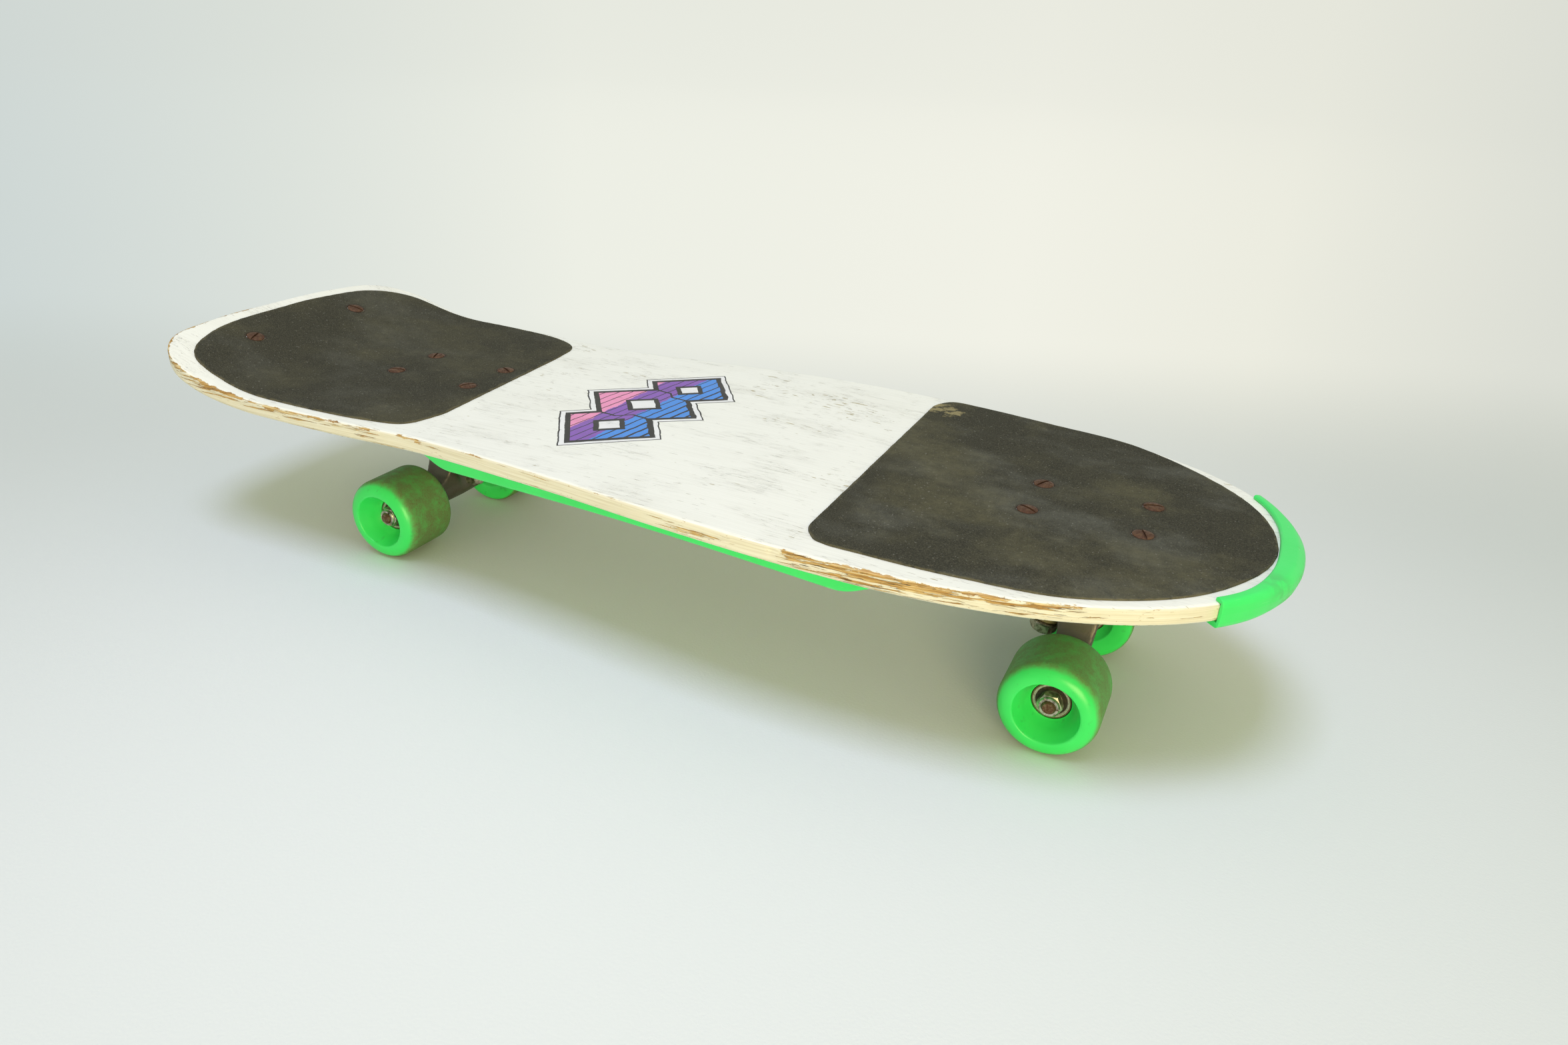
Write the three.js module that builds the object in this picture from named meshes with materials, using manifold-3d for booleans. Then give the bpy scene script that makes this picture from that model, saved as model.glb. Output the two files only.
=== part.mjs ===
// Wide kicktail skateboard on two single-axle trucks, with edge rails, a nose guard and a tail skid.
// Lengths are millimetres. +X points to the nose, +Y to the left edge and +Z up from the floor.
import * as THREE from "three";
import * as BufferGeometryUtils from "three/addons/utils/BufferGeometryUtils.js";
import Module from "manifold-3d";

const wasm = await Module();
wasm.setup();

// Deck
const deckLength = 733;
const deckWidth = 273;
const deckThickness = 10;
const deckEdgeChamfer = 1.9;
const tailToRearTruck = 172.5;
const noseToFrontTruck = 103.3;
const camberRise = 3;
const kickStart = 112;
const kickBendRadius = 200;
const kickAngle = THREE.MathUtils.degToRad(17);
const kickFacets = 5;
const camberFacets = 7;
const outlineSamples = 2;
// Half outline from the tail tip to the nose tip: share of the length, share of half the width.
const outlineShares = [
  [0, 0], [0.0048, 0.366], [0.0177, 0.667], [0.0505, 0.825], [0.136, 0.854], [0.232, 0.859],
  [0.327, 0.835], [0.45, 0.897], [0.573, 0.974], [0.682, 1], [0.778, 0.974], [0.866, 0.878],
  [0.9345, 0.703], [0.978, 0.487], [0.9952, 0.264], [1, 0],
];

// Grip sheets
const gripThickness = 0.9;
const adhesiveGap = 0.1;
const tailGripMargin = 13;
const tailGripLength = 214;
const noseGripLength = 230;
const gripSamples = 2;
// Outlines from the sheet's straight end round to the straight end again: share of the sheet's
// length from that end, share of half the deck's width.
const tailGripShares = [
  [0, -0.53], [0.04, -0.715], [0.15, -0.772], [0.36, -0.802], [0.7, -0.788], [0.885, -0.722],
  [0.975, -0.46], [1, 0], [0.998, 0.29], [0.96, 0.62], [0.86, 0.785], [0.62, 0.832],
  [0.38, 0.832], [0.18, 0.792], [0.08, 0.7], [0.05, 0.5],
];
const noseGripShares = [
  [0.008, -0.79], [0.05, -0.868], [0.18, -0.878], [0.38, -0.864], [0.61, -0.812], [0.84, -0.584],
  [0.972, -0.25], [1, 0], [0.955, 0.31], [0.84, 0.571], [0.6, 0.853], [0.36, 0.932],
  [0.12, 0.97], [0.04, 0.958], [0, 0.86],
];

// Nose guard
const guardReach = 10.5;
const guardEndThickness = 2.6;
const guardLip = 3.4;
const guardLipThickness = 2.4;
const guardFlange = 21;
const guardFlangeThickness = 3;
const guardLeftEnd = 69;
const guardRightEnd = 79;
const guardGap = 0.3;
// Outer face from the flange's underside to the lip: share of the bulge, share of the height.
const guardFaceShares = [[0.45, 0], [0.88, 0.19], [1, 0.52], [0.94, 0.76], [0.55, 0.98]];
const guardSections = 14;
const gripGuardGap = 0.6;

// Rails
const railSetback = 53.6;
const railWidth = 15;
const railHeight = 12;
const railNoseHeight = 2.4;
const railTaper = 43;
const railInset = 14.5;
const railSplay = THREE.MathUtils.degToRad(4.2);
const railShift = -6;
const railRound = 3;
const railCornerShare = 0.3;
const railTaperSteps = 3;
const railGap = 0.3;
const railSteps = 7;

// Tail skid
const skidLength = 40;
const skidWidth = 152;
const skidThickness = 9;
const skidBevel = 2.5;
const skidBow = 6;
const skidCentre = 33;
const skidBoltSpacing = 96.5;
const skidGap = 0.3;
const skidNutRoom = 1.6;
const skidNutSinkShare = 0.33;

// Truck hardware
const boltSpacingLong = 63.5;
const boltSpacingWide = 41.3;
const boltRadius = 2.4;
const boltHeadRadius = 6;
const boltHeadDepth = 3.2;
const boltDome = 1.2;
const boltShoulderShare = 0.78;
const boltSlotWidth = 1.5;
const boltSlotDepth = 1;
const boltNutAcross = 9.5;
const boltNutHeight = 4.5;
const boltStub = 2;
const boltGap = 0.25;
const boltSides = 8;
const slotTurnShares = [0.1, 0.62, 0.35, 0.84];

// Wood screws
const screwHeadRadius = 3.8;
const screwHeadHeight = 2.4;
const screwCrownShare = 0.6;
const screwRimShare = 0.35;
const screwRadius = 1.7;
const screwDepth = 6.5;
const screwGap = 0.25;
const screwSides = 6;
const railScrewInset = 63;
const counterboreGap = 0.6;
const guardScrewInset = 11;
const guardScrewShares = [-0.58, 0, 0.58];

// Trucks
const riserThickness = 14;
const riserMargin = 1.5;
const plateEndMargin = 7.75;
const plateSideMargin = 6.85;
const plateThickness = 6;
const plateCorner = 8;
const truckHeight = 65;
const axleOffset = 5.6;
const kingpinTopX = -5;
const kingpinTilt = THREE.MathUtils.degToRad(10);
const kingpinRadius = 4.75;
const kingpinHeadRadius = 8.2;
const kingpinHeadHeight = 5.2;
const kingpinHeadSink = 2;
const kingpinStub = 2;
const kingpinNutAcross = 14.3;
const kingpinNutHeight = 6.4;
const bossRadius = 12.4;
const ringDepth = 36;
const ringRadius = 13;
const ringThickness = 8.4;
const ringBoreRadius = 7.2;
const bushingRadius = 11;
const bushingWaist = 1.2;
const topBushingHeight = 12;
const lowBushingHeight = 9.5;
const lowBushingEndRadius = 9;
const cupWasherRadius = 10.6;
const cupWasherThickness = 1.8;
const stackGap = 0.25;
const shaftGap = 0.2;
const pivotX = 20;
const pivotDepth = 13;
const pivotBallRadius = 5.4;
const pivotCupWall = 2;
const pivotCupGap = 0.3;
const pivotCupMouth = 5;
const pivotHousingWall = 2.8;
const pivotArmLength = 17;
const pivotArmRadius = 8.2;
const hangerHalfWidth = 40.2;
const hangerBeamRadius = 7.8;
const hangerBeamFlare = 1.9;
const hangerBeamShares = [-1, -0.5, 0, 0.5, 1];
const hangerClearance = 2.6;
const ribWidth = 11;
const ribDropShare = 0.72;
// Web of the hanger: how far it follows the beam, its tips, its neck under the ring and its far edge.
const webReachShare = 0.86;
const webTipShare = 0.5;
const webNeckTopShare = 0.6;
const webNeckBaseShare = 0.4;
const webFarShare = 0.8;
const webHeel = 1;
const turnedSides = 12;
const axleRadius = 4;
const axleReach = 73.7;
const axleChamfer = 0.7;

// Wheels
const wheelRadius = 29;
const wheelWidth = 43.5;
const wheelSides = 20;
const wheelOuterFace = 80.1;
const wheelOuterRound = 8.6;
const wheelInnerRound = 4.5;
const wheelMouthRadius = 18.5;
const wheelInnerMouthRadius = 16;
const wheelMouthRound = 0.9;
const wheelRecess = 14.9;
const bearingRadius = 11;
const bearingWidth = 7;
const bearingSpacing = 10;
const bearingSeatGap = 0.1;
const bearingRaceWall = 1.5;
const bearingShieldSink = 0.5;
const innerRaceRadius = 6.2;
const spacerRadius = 5.6;
const coreShoulder = 1.6;
const bearingSides = 12;
const runningGap = 0.1;
const axleNutAcross = 12.7;
const axleNutHeight = 5.2;
const axleNutCollar = 1.3;
const axleNutSeatGap = 0.6;

// Shared allowances
const cutOverrun = 20;
const weldDistance = 1e-5;
const noseTurn = 0.5;
const halvings = 24;

// Derived places
const halfLength = (deckLength + guardReach) / 2;
const tailX = -halfLength;
const noseX = tailX + deckLength;
const rearTruckX = tailX + tailToRearTruck;
const frontTruckX = noseX - noseToFrontTruck;
const wheelbase = frontTruckX - rearTruckX;
const railLength = wheelbase - 2 * railSetback;
const railScrewSpacing = railLength / 2 - railScrewInset;
const plateLength = boltSpacingLong + 2 * plateEndMargin;
const plateWidth = boltSpacingWide + 2 * plateSideMargin;
const middleX = (rearTruckX + frontTruckX) / 2;
const axleHeight = wheelRadius * Math.cos(Math.PI / wheelSides);
const plateTopZ = axleHeight + truckHeight;
const deckUnderZ = plateTopZ + riserThickness;
const deckTopZ = deckUnderZ + deckThickness;
const guardScrewSeat = deckUnderZ - guardGap - guardFlangeThickness;
const gripTopZ = deckTopZ + adhesiveGap + gripThickness;
const pivotCupRadius = pivotBallRadius + pivotCupGap + pivotCupWall;
const pivotHousingRadius = pivotCupRadius + pivotHousingWall;
const pivotCupDepth = pivotBallRadius + pivotCupGap + pivotCupWall / 2;
const ringX = kingpinTopX - ringDepth * Math.tan(kingpinTilt);
const pivotAngle = Math.atan2(ringDepth - pivotDepth, pivotX - ringX);
const ringAlong = ringDepth / Math.cos(kingpinTilt);
const bearingOuterFace = wheelOuterFace - wheelRecess;
const bearingInnerFace = bearingOuterFace - 2 * bearingWidth - bearingSpacing;
const wheelInnerFace = wheelOuterFace - wheelWidth;
const headSeat = adhesiveGap + gripThickness;
const skidNutSeat = -skidGap - skidThickness * skidNutSinkShare;

// Finishes
const finishes = {
  paint: { color: 0xeeece2, roughness: 0.55, metalness: 0 },
  grip: { color: 0x3b3a35, roughness: 0.95, metalness: 0 },
  plastic: { color: 0x3fdd68, roughness: 0.42, metalness: 0 },
  rubber: { color: 0x2b2a28, roughness: 0.8, metalness: 0 },
  bushing: { color: 0xc9b48a, roughness: 0.6, metalness: 0 },
  castMetal: { color: 0x8a857a, roughness: 0.55, metalness: 0.85 },
  rustySteel: { color: 0x7a4631, roughness: 0.75, metalness: 0.6 },
  zincSteel: { color: 0xb9b5a6, roughness: 0.4, metalness: 0.9 },
  bearingSteel: { color: 0x5b4a3a, roughness: 0.5, metalness: 0.8 },
};

const skateboard = new THREE.Group();

// Adds one named piece with its own material to a group.
function addPiece(group, name, geometry, finish) {
  const mesh = new THREE.Mesh(geometry, new THREE.MeshStandardMaterial(finishes[finish]));
  mesh.name = name;
  group.add(mesh);
  return mesh;
}

// Turns a closed geometry into a solid that can be joined and cut.
function toSolid(geometry) {
  const bare = geometry.index ? geometry.toNonIndexed() : geometry.clone();
  bare.deleteAttribute("normal");
  bare.deleteAttribute("uv");
  const welded = BufferGeometryUtils.mergeVertices(bare, weldDistance);
  const corners = welded.index.array;
  const kept = [];
  for (let i = 0; i < corners.length; i += 3) {
    const [a, b, c] = corners.slice(i, i + 3);
    if (a !== b && b !== c && c !== a) {
      kept.push(a, b, c);
    }
  }
  const vertProperties = new Float32Array(welded.attributes.position.array);
  const triVerts = new Uint32Array(kept);
  return new wasm.Manifold(new wasm.Mesh({ numProp: 3, vertProperties, triVerts }));
}

// Turns a solid back into a geometry.
function toGeometry(solid) {
  const mesh = solid.getMesh();
  const geometry = new THREE.BufferGeometry();
  geometry.setAttribute("position", new THREE.BufferAttribute(Float32Array.from(mesh.vertProperties), 3));
  geometry.setIndex(Array.from(mesh.triVerts));
  geometry.computeVertexNormals();
  return geometry;
}

function joined(geometries) {
  return geometries.map(toSolid).reduce((whole, piece) => whole.add(piece));
}

function cut(solid, geometries) {
  return geometries.reduce((rest, tool) => rest.subtract(toSolid(tool)), solid);
}

function common(geometries) {
  return geometries.map(toSolid).reduce((rest, piece) => rest.intersect(piece));
}

// Revolves [radius, height] pairs about the Z axis. A ring closes on itself.
function turned(profile, sides, isRing = false) {
  const area = profile.reduce((sum, [r, z], i) => {
    const [nextR, nextZ] = profile[(i + 1) % profile.length];
    return sum + (r * nextZ - nextR * z) / 2;
  }, 0);
  const points = profile.map(([r, z]) => new THREE.Vector2(r, z));
  if (area < 0) {
    points.reverse();
  }
  if (isRing) {
    points.push(points[0].clone());
  }
  return new THREE.LatheGeometry(points, sides).rotateX(Math.PI / 2).rotateZ(Math.PI / sides);
}

// A rod between two heights. A negative start lies above the origin of a downward axis.
function rod(radius, from, to, sides, endRadius = radius) {
  return turned([[0, from], [radius, from], [endRadius, to], [0, to]], sides);
}

// The corner radius that keeps a faceted hole clear of a shaft at the middle of its flats.
function holeRadius(shaftRadius, gap, sides) {
  return (shaftRadius + gap) / Math.cos(Math.PI / sides);
}

// A hexagonal prism with its width given across the flats.
function hexPrism(across, from, to) {
  return rod(across / 2 / Math.cos(Math.PI / 6), from, to, 6);
}

// An outline in the XY plane, extruded between two heights.
function slab(shape, from, to, curveSegments = 6) {
  const settings = { depth: to - from, bevelEnabled: false, curveSegments };
  return new THREE.ExtrudeGeometry(shape, settings).translate(0, 0, from);
}

function rectangle(length, width, corner) {
  const [x, y] = [length / 2, width / 2];
  const shape = new THREE.Shape();
  shape.moveTo(-x + corner, -y);
  shape.lineTo(x - corner, -y);
  shape.absarc(x - corner, -y + corner, corner, -Math.PI / 2, 0);
  shape.absarc(x - corner, y - corner, corner, 0, Math.PI / 2);
  shape.absarc(-x + corner, y - corner, corner, Math.PI / 2, Math.PI);
  shape.absarc(-x + corner, -y + corner, corner, Math.PI, 1.5 * Math.PI);
  return shape;
}

// Lays a geometry's Z axis along a direction that leans from straight down towards the truck's inside.
function leaned(geometry, lean, x, depth) {
  return geometry.rotateY(Math.PI + lean).translate(x, 0, -depth);
}

// Builds a mesh from triangles whose corners are vectors.
function fromTriangles(triangles) {
  const geometry = new THREE.BufferGeometry();
  const numbers = triangles.flat().flatMap((corner) => [corner.x, corner.y, corner.z]);
  geometry.setAttribute("position", new THREE.BufferAttribute(new Float32Array(numbers), 3));
  return geometry;
}

function quad(a, b, c, d) {
  return [[a, b, c], [a, c, d]];
}

// Side profile of the deck. Each bend has its place, its rise and the plate's height on a slope.
function bend(x, rise, slope) {
  return { x, rise, depth: deckThickness / Math.cos(slope) };
}

function deckBends() {
  const bendX = tailX + kickStart;
  const kick = [];
  for (let i = 0; i <= kickFacets; i += 1) {
    const slope = (kickAngle * i) / kickFacets;
    const rise = kickBendRadius * (1 - Math.cos(slope));
    kick.push(bend(bendX - kickBendRadius * Math.sin(slope), rise, slope));
  }
  const last = kick[kickFacets];
  kick.push(bend(tailX, last.rise + (last.x - tailX) * Math.tan(kickAngle), kickAngle));
  const camber = [];
  const reach = (wheelbase - plateLength) / 2;
  for (let i = 0; i <= camberFacets; i += 1) {
    const share = (2 * i) / camberFacets - 1;
    camber.push(bend(middleX + share * reach, camberRise * (1 - share ** 2) ** 2, 0));
  }
  return [...kick.reverse(), ...camber, bend(noseX, 0, 0)];
}

const bends = deckBends();

// A value of the side profile between its bends.
function profileAt(x, key) {
  const inside = THREE.MathUtils.clamp(x, bends[0].x, bends[bends.length - 1].x);
  const next = Math.max(1, bends.findIndex((place) => place.x >= inside));
  const [from, to] = [bends[next - 1], bends[next]];
  return THREE.MathUtils.lerp(from[key], to[key], (inside - from.x) / (to.x - from.x));
}

function topAt(x) {
  return deckTopZ + profileAt(x, "rise");
}

function underAt(x) {
  return topAt(x) - profileAt(x, "depth");
}

// Adds a point to an edge wherever the side profile bends.
function withBends(edge) {
  const result = [edge[0]];
  for (let i = 1; i < edge.length; i += 1) {
    const [from, to] = [edge[i - 1], edge[i]];
    bends.filter((place) => place.x > from.x && place.x < to.x).forEach((place) => {
      result.push(from.clone().lerp(to, (place.x - from.x) / (to.x - from.x)));
    });
    result.push(to);
  }
  return result;
}

// The deck's outline as a closed smooth curve, with the tail tip at 0 and the nose tip at one half.
function deckCurve() {
  const side = outlineShares.map(([along, across]) => (
    new THREE.Vector3(tailX + along * deckLength, (across * deckWidth) / 2, 0)));
  const mirrored = side.slice(1, -1).reverse().map((point) => new THREE.Vector3(point.x, -point.y, 0));
  return new THREE.CatmullRomCurve3([...side, ...mirrored], true, "centripetal");
}

const outline = deckCurve();

// The left edge from tail to nose.
function leftEdge() {
  const steps = outlineSamples * (outlineShares.length - 1);
  const points = Array.from({ length: steps + 1 }, (_, i) => outline.getPoint(i / steps / 2));
  points[0].setY(0);
  points[steps].setY(0);
  return withBends(points);
}

const deckLeft = leftEdge();

// Half the deck's width at a place along it.
function halfWidthAt(x) {
  const next = Math.max(1, deckLeft.findIndex((point) => point.x >= x));
  const [from, to] = [deckLeft[next - 1], deckLeft[next]];
  return THREE.MathUtils.lerp(from.y, to.y, (x - from.x) / (to.x - from.x));
}

// Moves a closed loop of points inwards by a distance.
function insetLoop(loop, distance) {
  return loop.map((point, i) => {
    const rest = [...loop.slice(i + 1), ...loop.slice(0, i)];
    const others = rest.filter((other) => other.distanceTo(point) > weldDistance);
    const along = others[0].clone().sub(others[others.length - 1]).normalize();
    return new THREE.Vector3(point.x - along.y * distance, point.y + along.x * distance, 0);
  });
}

// A plate with a chamfered rim. Its right and left edges share their places along the board.
function chamferedPlate(left, chamfer) {
  const right = left.map((point) => new THREE.Vector3(point.x, -point.y, 0));
  const loop = [...right, ...left.slice().reverse()];
  const levels = [
    [chamfer, topAt, 0], [0, topAt, -chamfer], [0, underAt, chamfer], [chamfer, underAt, 0],
  ];
  const rings = levels.map(([inset, heightAt, shift]) => (
    insetLoop(loop, inset).map((point) => new THREE.Vector3(point.x, point.y, heightAt(point.x) + shift))));
  return closedStack(rings, left.length);
}

// Joins rings of equal length into a closed body. A ring runs along one side and back along the other,
// and its end faces are strips across from side to side.
function closedStack(rings, sideLength) {
  const triangles = [];
  for (let level = 1; level < rings.length; level += 1) {
    const [upper, lower] = [rings[level - 1], rings[level]];
    upper.forEach((point, i) => {
      const next = (i + 1) % upper.length;
      triangles.push(...quad(point, lower[i], lower[next], upper[next]));
    });
  }
  const [top, base] = [rings[0], rings[rings.length - 1]];
  const last = top.length - 1;
  for (let i = 0; i < sideLength - 1; i += 1) {
    triangles.push(...quad(top[i], top[i + 1], top[last - i - 1], top[last - i]));
    triangles.push(...quad(base[i], base[last - i], base[last - i - 1], base[i + 1]));
  }
  return fromTriangles(triangles);
}

// A bolt with an oval slotted head, its upper seat at height 0 and its own nut under the stack.
function slottedBolt(clampLength, slotTurn) {
  const tip = -clampLength - boltNutHeight - boltStub;
  const body = joined([
    turned([
      [0, boltDome], [boltHeadRadius / 2, boltDome * boltShoulderShare], [boltHeadRadius, 0],
      [boltRadius, -boltHeadDepth], [boltRadius, tip], [0, tip],
    ], boltSides),
    hexPrism(boltNutAcross, -clampLength - boltNutHeight, -clampLength),
  ]);
  const slot = new THREE.BoxGeometry(3 * boltHeadRadius, boltSlotWidth, 2 * boltSlotDepth);
  return toGeometry(cut(body, [slot.translate(0, 0, boltDome).rotateZ(slotTurn)]));
}

// The room that such a bolt's head and shank need.
function boltRoom(clampLength) {
  const gap = boltGap;
  return turned([
    [0, cutOverrun], [boltHeadRadius + gap, cutOverrun], [boltHeadRadius + gap, -gap],
    [boltRadius + gap, -boltHeadDepth - gap], [boltRadius + gap, -clampLength - cutOverrun],
    [0, -clampLength - cutOverrun],
  ], boltSides);
}

// A wood screw driven upwards, its head's flat seat at height 0.
function woodScrew(length) {
  return turned([
    [0, -screwHeadHeight], [screwHeadRadius * screwCrownShare, -screwHeadHeight],
    [screwHeadRadius, -screwHeadHeight * screwRimShare], [screwHeadRadius, 0], [screwRadius, 0],
    [screwRadius, length - screwRadius], [0, length],
  ], screwSides);
}

function screwRoom(length) {
  return rod(holeRadius(screwRadius, screwGap, screwSides), -cutOverrun, length + screwGap, screwSides);
}

// Places of the truck bolts about a truck's centre, and the turn of each slot.
const boltPlaces = [];
[1, -1].forEach((alongSign) => {
  [1, -1].forEach((acrossSign) => {
    boltPlaces.push({ x: (alongSign * boltSpacingLong) / 2, y: (acrossSign * boltSpacingWide) / 2 });
  });
});
const trucks = [
  { name: "front", x: frontTruckX, turn: 0 },
  { name: "rear", x: rearTruckX, turn: Math.PI },
];

// Places of the two tail skid bolts, in a frame that lies on the kick's underside.
const skidX = tailX + skidCentre;
const skidGroup = new THREE.Group();
skidGroup.position.set(skidX, 0, underAt(skidX));
skidGroup.rotation.y = kickAngle;
skidGroup.updateMatrixWorld(true);
skateboard.add(skidGroup);
const skidBoltYs = [skidBoltSpacing / 2, -skidBoltSpacing / 2];

// Centre line of a rail. The right rail mirrors the left one.
function railPoint(along, across, side) {
  const centreX = middleX + railShift;
  const centreY = halfWidthAt(centreX) - railInset - railWidth / 2;
  const x = centreX + along * Math.cos(railSplay) - across * Math.sin(railSplay);
  const y = centreY + along * Math.sin(railSplay) + across * Math.cos(railSplay);
  return new THREE.Vector3(x, side * y, 0);
}
const railScrewPlaces = [-railScrewSpacing, 0, railScrewSpacing];
const sides = [{ name: "left", sign: 1 }, { name: "right", sign: -1 }];

// The place on the outline's left half, past its widest point, that lies this far from the middle.
function outlineTurnAtWidth(width) {
  const widest = outlineShares.findIndex(([, across]) => across === 1);
  let wide = (noseTurn * widest) / (outlineShares.length - 1);
  let narrow = noseTurn;
  for (let i = 0; i < halvings; i += 1) {
    const middle = (wide + narrow) / 2;
    if (outline.getPoint(middle).y > width) {
      wide = middle;
    } else {
      narrow = middle;
    }
  }
  return narrow;
}
const guardLeftTurn = outlineTurnAtWidth(guardLeftEnd);
const guardRightTurn = 1 - outlineTurnAtWidth(guardRightEnd);

// A place on the nose outline, from the guard's left end at -1 through the tip at 0 to its right end at 1.
function guardPlace(share) {
  const end = share < 0 ? guardLeftTurn : guardRightTurn;
  const turn = THREE.MathUtils.lerp(noseTurn, end, Math.abs(share));
  const point = outline.getPoint(turn);
  const tangent = outline.getTangent(turn);
  return { point, outward: new THREE.Vector3(-tangent.y, tangent.x, 0).normalize() };
}

function guardScrewPoint(share) {
  const { point, outward } = guardPlace(share);
  return point.clone().addScaledVector(outward, -guardScrewInset);
}

// Deck
function makeDeck() {
  const clampLength = headSeat + deckThickness;
  const tools = [];
  trucks.forEach((truck) => boltPlaces.forEach((place) => {
    tools.push(boltRoom(clampLength).translate(truck.x + place.x, place.y, gripTopZ));
  }));
  skidBoltYs.forEach((y) => {
    const room = boltRoom(clampLength).translate(0, y, deckThickness + headSeat);
    tools.push(room.applyMatrix4(skidGroup.matrixWorld));
  });
  sides.forEach(({ sign }) => railScrewPlaces.forEach((along) => {
    const point = railPoint(along, 0, sign);
    tools.push(screwRoom(screwDepth).translate(point.x, point.y, underAt(point.x)));
  }));
  guardScrewShares.forEach((share) => {
    const point = guardScrewPoint(share);
    tools.push(screwRoom(screwDepth).translate(point.x, point.y, underAt(point.x)));
  });
  return toGeometry(cut(toSolid(chamferedPlate(deckLeft, deckEdgeChamfer)), tools));
}
addPiece(skateboard, "deck", makeDeck(), "paint");

// Grip sheets. Each follows the deck's top face from edge to edge.
function gripSheet(points) {
  const curve = new THREE.CatmullRomCurve3(points, false, "centripetal");
  const loop = curve.getPoints(gripSamples * (points.length - 1));
  const places = new Set(loop.map((point) => Math.fround(point.x)));
  const [low, high] = [Math.min(...places), Math.max(...places)];
  bends.filter((place) => place.x > low && place.x < high).forEach((place) => {
    places.add(Math.fround(place.x));
  });
  const right = [];
  const left = [];
  [...places].sort((a, b) => a - b).forEach((x) => {
    const crossings = loop.flatMap((point, i) => {
      const next = loop[(i + 1) % loop.length];
      const [from, to] = [Math.fround(point.x), Math.fround(next.x)];
      const isCrossed = from !== to && Math.min(from, to) <= x && x <= Math.max(from, to);
      return isCrossed ? [THREE.MathUtils.lerp(point.y, next.y, (x - from) / (to - from))] : [];
    });
    right.push(new THREE.Vector3(x, Math.min(...crossings), 0));
    left.push(new THREE.Vector3(x, Math.max(...crossings), 0));
  });
  const edge = [...right, ...left.slice().reverse()];
  const heights = [adhesiveGap + gripThickness, adhesiveGap];
  const rings = heights.map((height) => (
    edge.map((point) => new THREE.Vector3(point.x, point.y, topAt(point.x) + height))));
  return closedStack(rings, right.length);
}

function makeTailGrip() {
  const end = tailX + tailGripMargin + tailGripLength;
  const points = tailGripShares.map(([along, across]) => (
    new THREE.Vector3(end - along * tailGripLength, (across * deckWidth) / 2, 0)));
  const tools = [];
  boltPlaces.forEach((place) => {
    tools.push(boltRoom(headSeat).translate(rearTruckX + place.x, place.y, gripTopZ));
  });
  skidBoltYs.forEach((y) => {
    const room = boltRoom(headSeat).translate(0, y, deckThickness + headSeat);
    tools.push(room.applyMatrix4(skidGroup.matrixWorld));
  });
  return toGeometry(cut(toSolid(gripSheet(points)), tools));
}

function makeNoseGrip() {
  const end = noseX - guardLip - gripGuardGap;
  const points = noseGripShares.map(([along, across]) => (
    new THREE.Vector3(end - noseGripLength + along * noseGripLength, (across * deckWidth) / 2, 0)));
  const tools = boltPlaces.map((place) => (
    boltRoom(headSeat).translate(frontTruckX + place.x, place.y, gripTopZ)));
  return toGeometry(cut(toSolid(gripSheet(points)), tools));
}
addPiece(skateboard, "grip_tail", makeTailGrip(), "grip");
addPiece(skateboard, "grip_nose", makeNoseGrip(), "grip");

// Nose guard: a channel section swept round the nose, thickest at the tip.
function guardSection(share) {
  const bulge = guardEndThickness + (guardReach - guardEndThickness) * (1 - share ** 2) ** 2;
  const lipTop = guardGap + guardLipThickness;
  const base = -deckThickness - guardGap;
  const flangeBase = base - guardFlangeThickness;
  return [
    [-guardLip, guardGap],
    [guardGap, guardGap],
    [guardGap, base],
    [-guardFlange, base],
    [-guardFlange, flangeBase],
    ...guardFaceShares.map(([out, up]) => [bulge * out, THREE.MathUtils.lerp(flangeBase, lipTop, up)]),
    [-guardLip + guardLipThickness / 2, lipTop],
    [-guardLip, lipTop - guardLipThickness / 2],
  ];
}

function makeNoseGuard() {
  const rings = [];
  for (let i = 0; i <= guardSections; i += 1) {
    const share = (2 * i) / guardSections - 1;
    const { point, outward } = guardPlace(share);
    rings.push(guardSection(share).map(([out, up]) => (
      new THREE.Vector3(point.x + outward.x * out, point.y + outward.y * out, deckTopZ + up))));
  }
  const triangles = [];
  for (let i = 1; i < rings.length; i += 1) {
    rings[i].forEach((corner, j) => {
      const next = (j + 1) % rings[i].length;
      triangles.push(...quad(rings[i - 1][j], rings[i - 1][next], rings[i][next], corner));
    });
  }
  const flat = guardSection(1).map(([out, up]) => new THREE.Vector2(out, up));
  THREE.ShapeUtils.triangulateShape(flat, []).forEach(([a, b, c]) => {
    triangles.push([rings[0][a], rings[0][c], rings[0][b]]);
    triangles.push([rings[guardSections][a], rings[guardSections][b], rings[guardSections][c]]);
  });
  const tools = guardScrewShares.map((share) => {
    const place = guardScrewPoint(share);
    return screwRoom(screwDepth).translate(place.x, place.y, guardScrewSeat);
  });
  return toGeometry(cut(toSolid(fromTriangles(triangles)), tools));
}
addPiece(skateboard, "nose_guard", makeNoseGuard(), "plastic");
guardScrewShares.forEach((share, i) => {
  const place = guardScrewPoint(share);
  const screw = woodScrew(screwDepth + guardFlangeThickness);
  screw.translate(place.x, place.y, guardScrewSeat - stackGap);
  addPiece(skateboard, `guard_screw_${i + 1}`, screw, "zincSteel");
});

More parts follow.
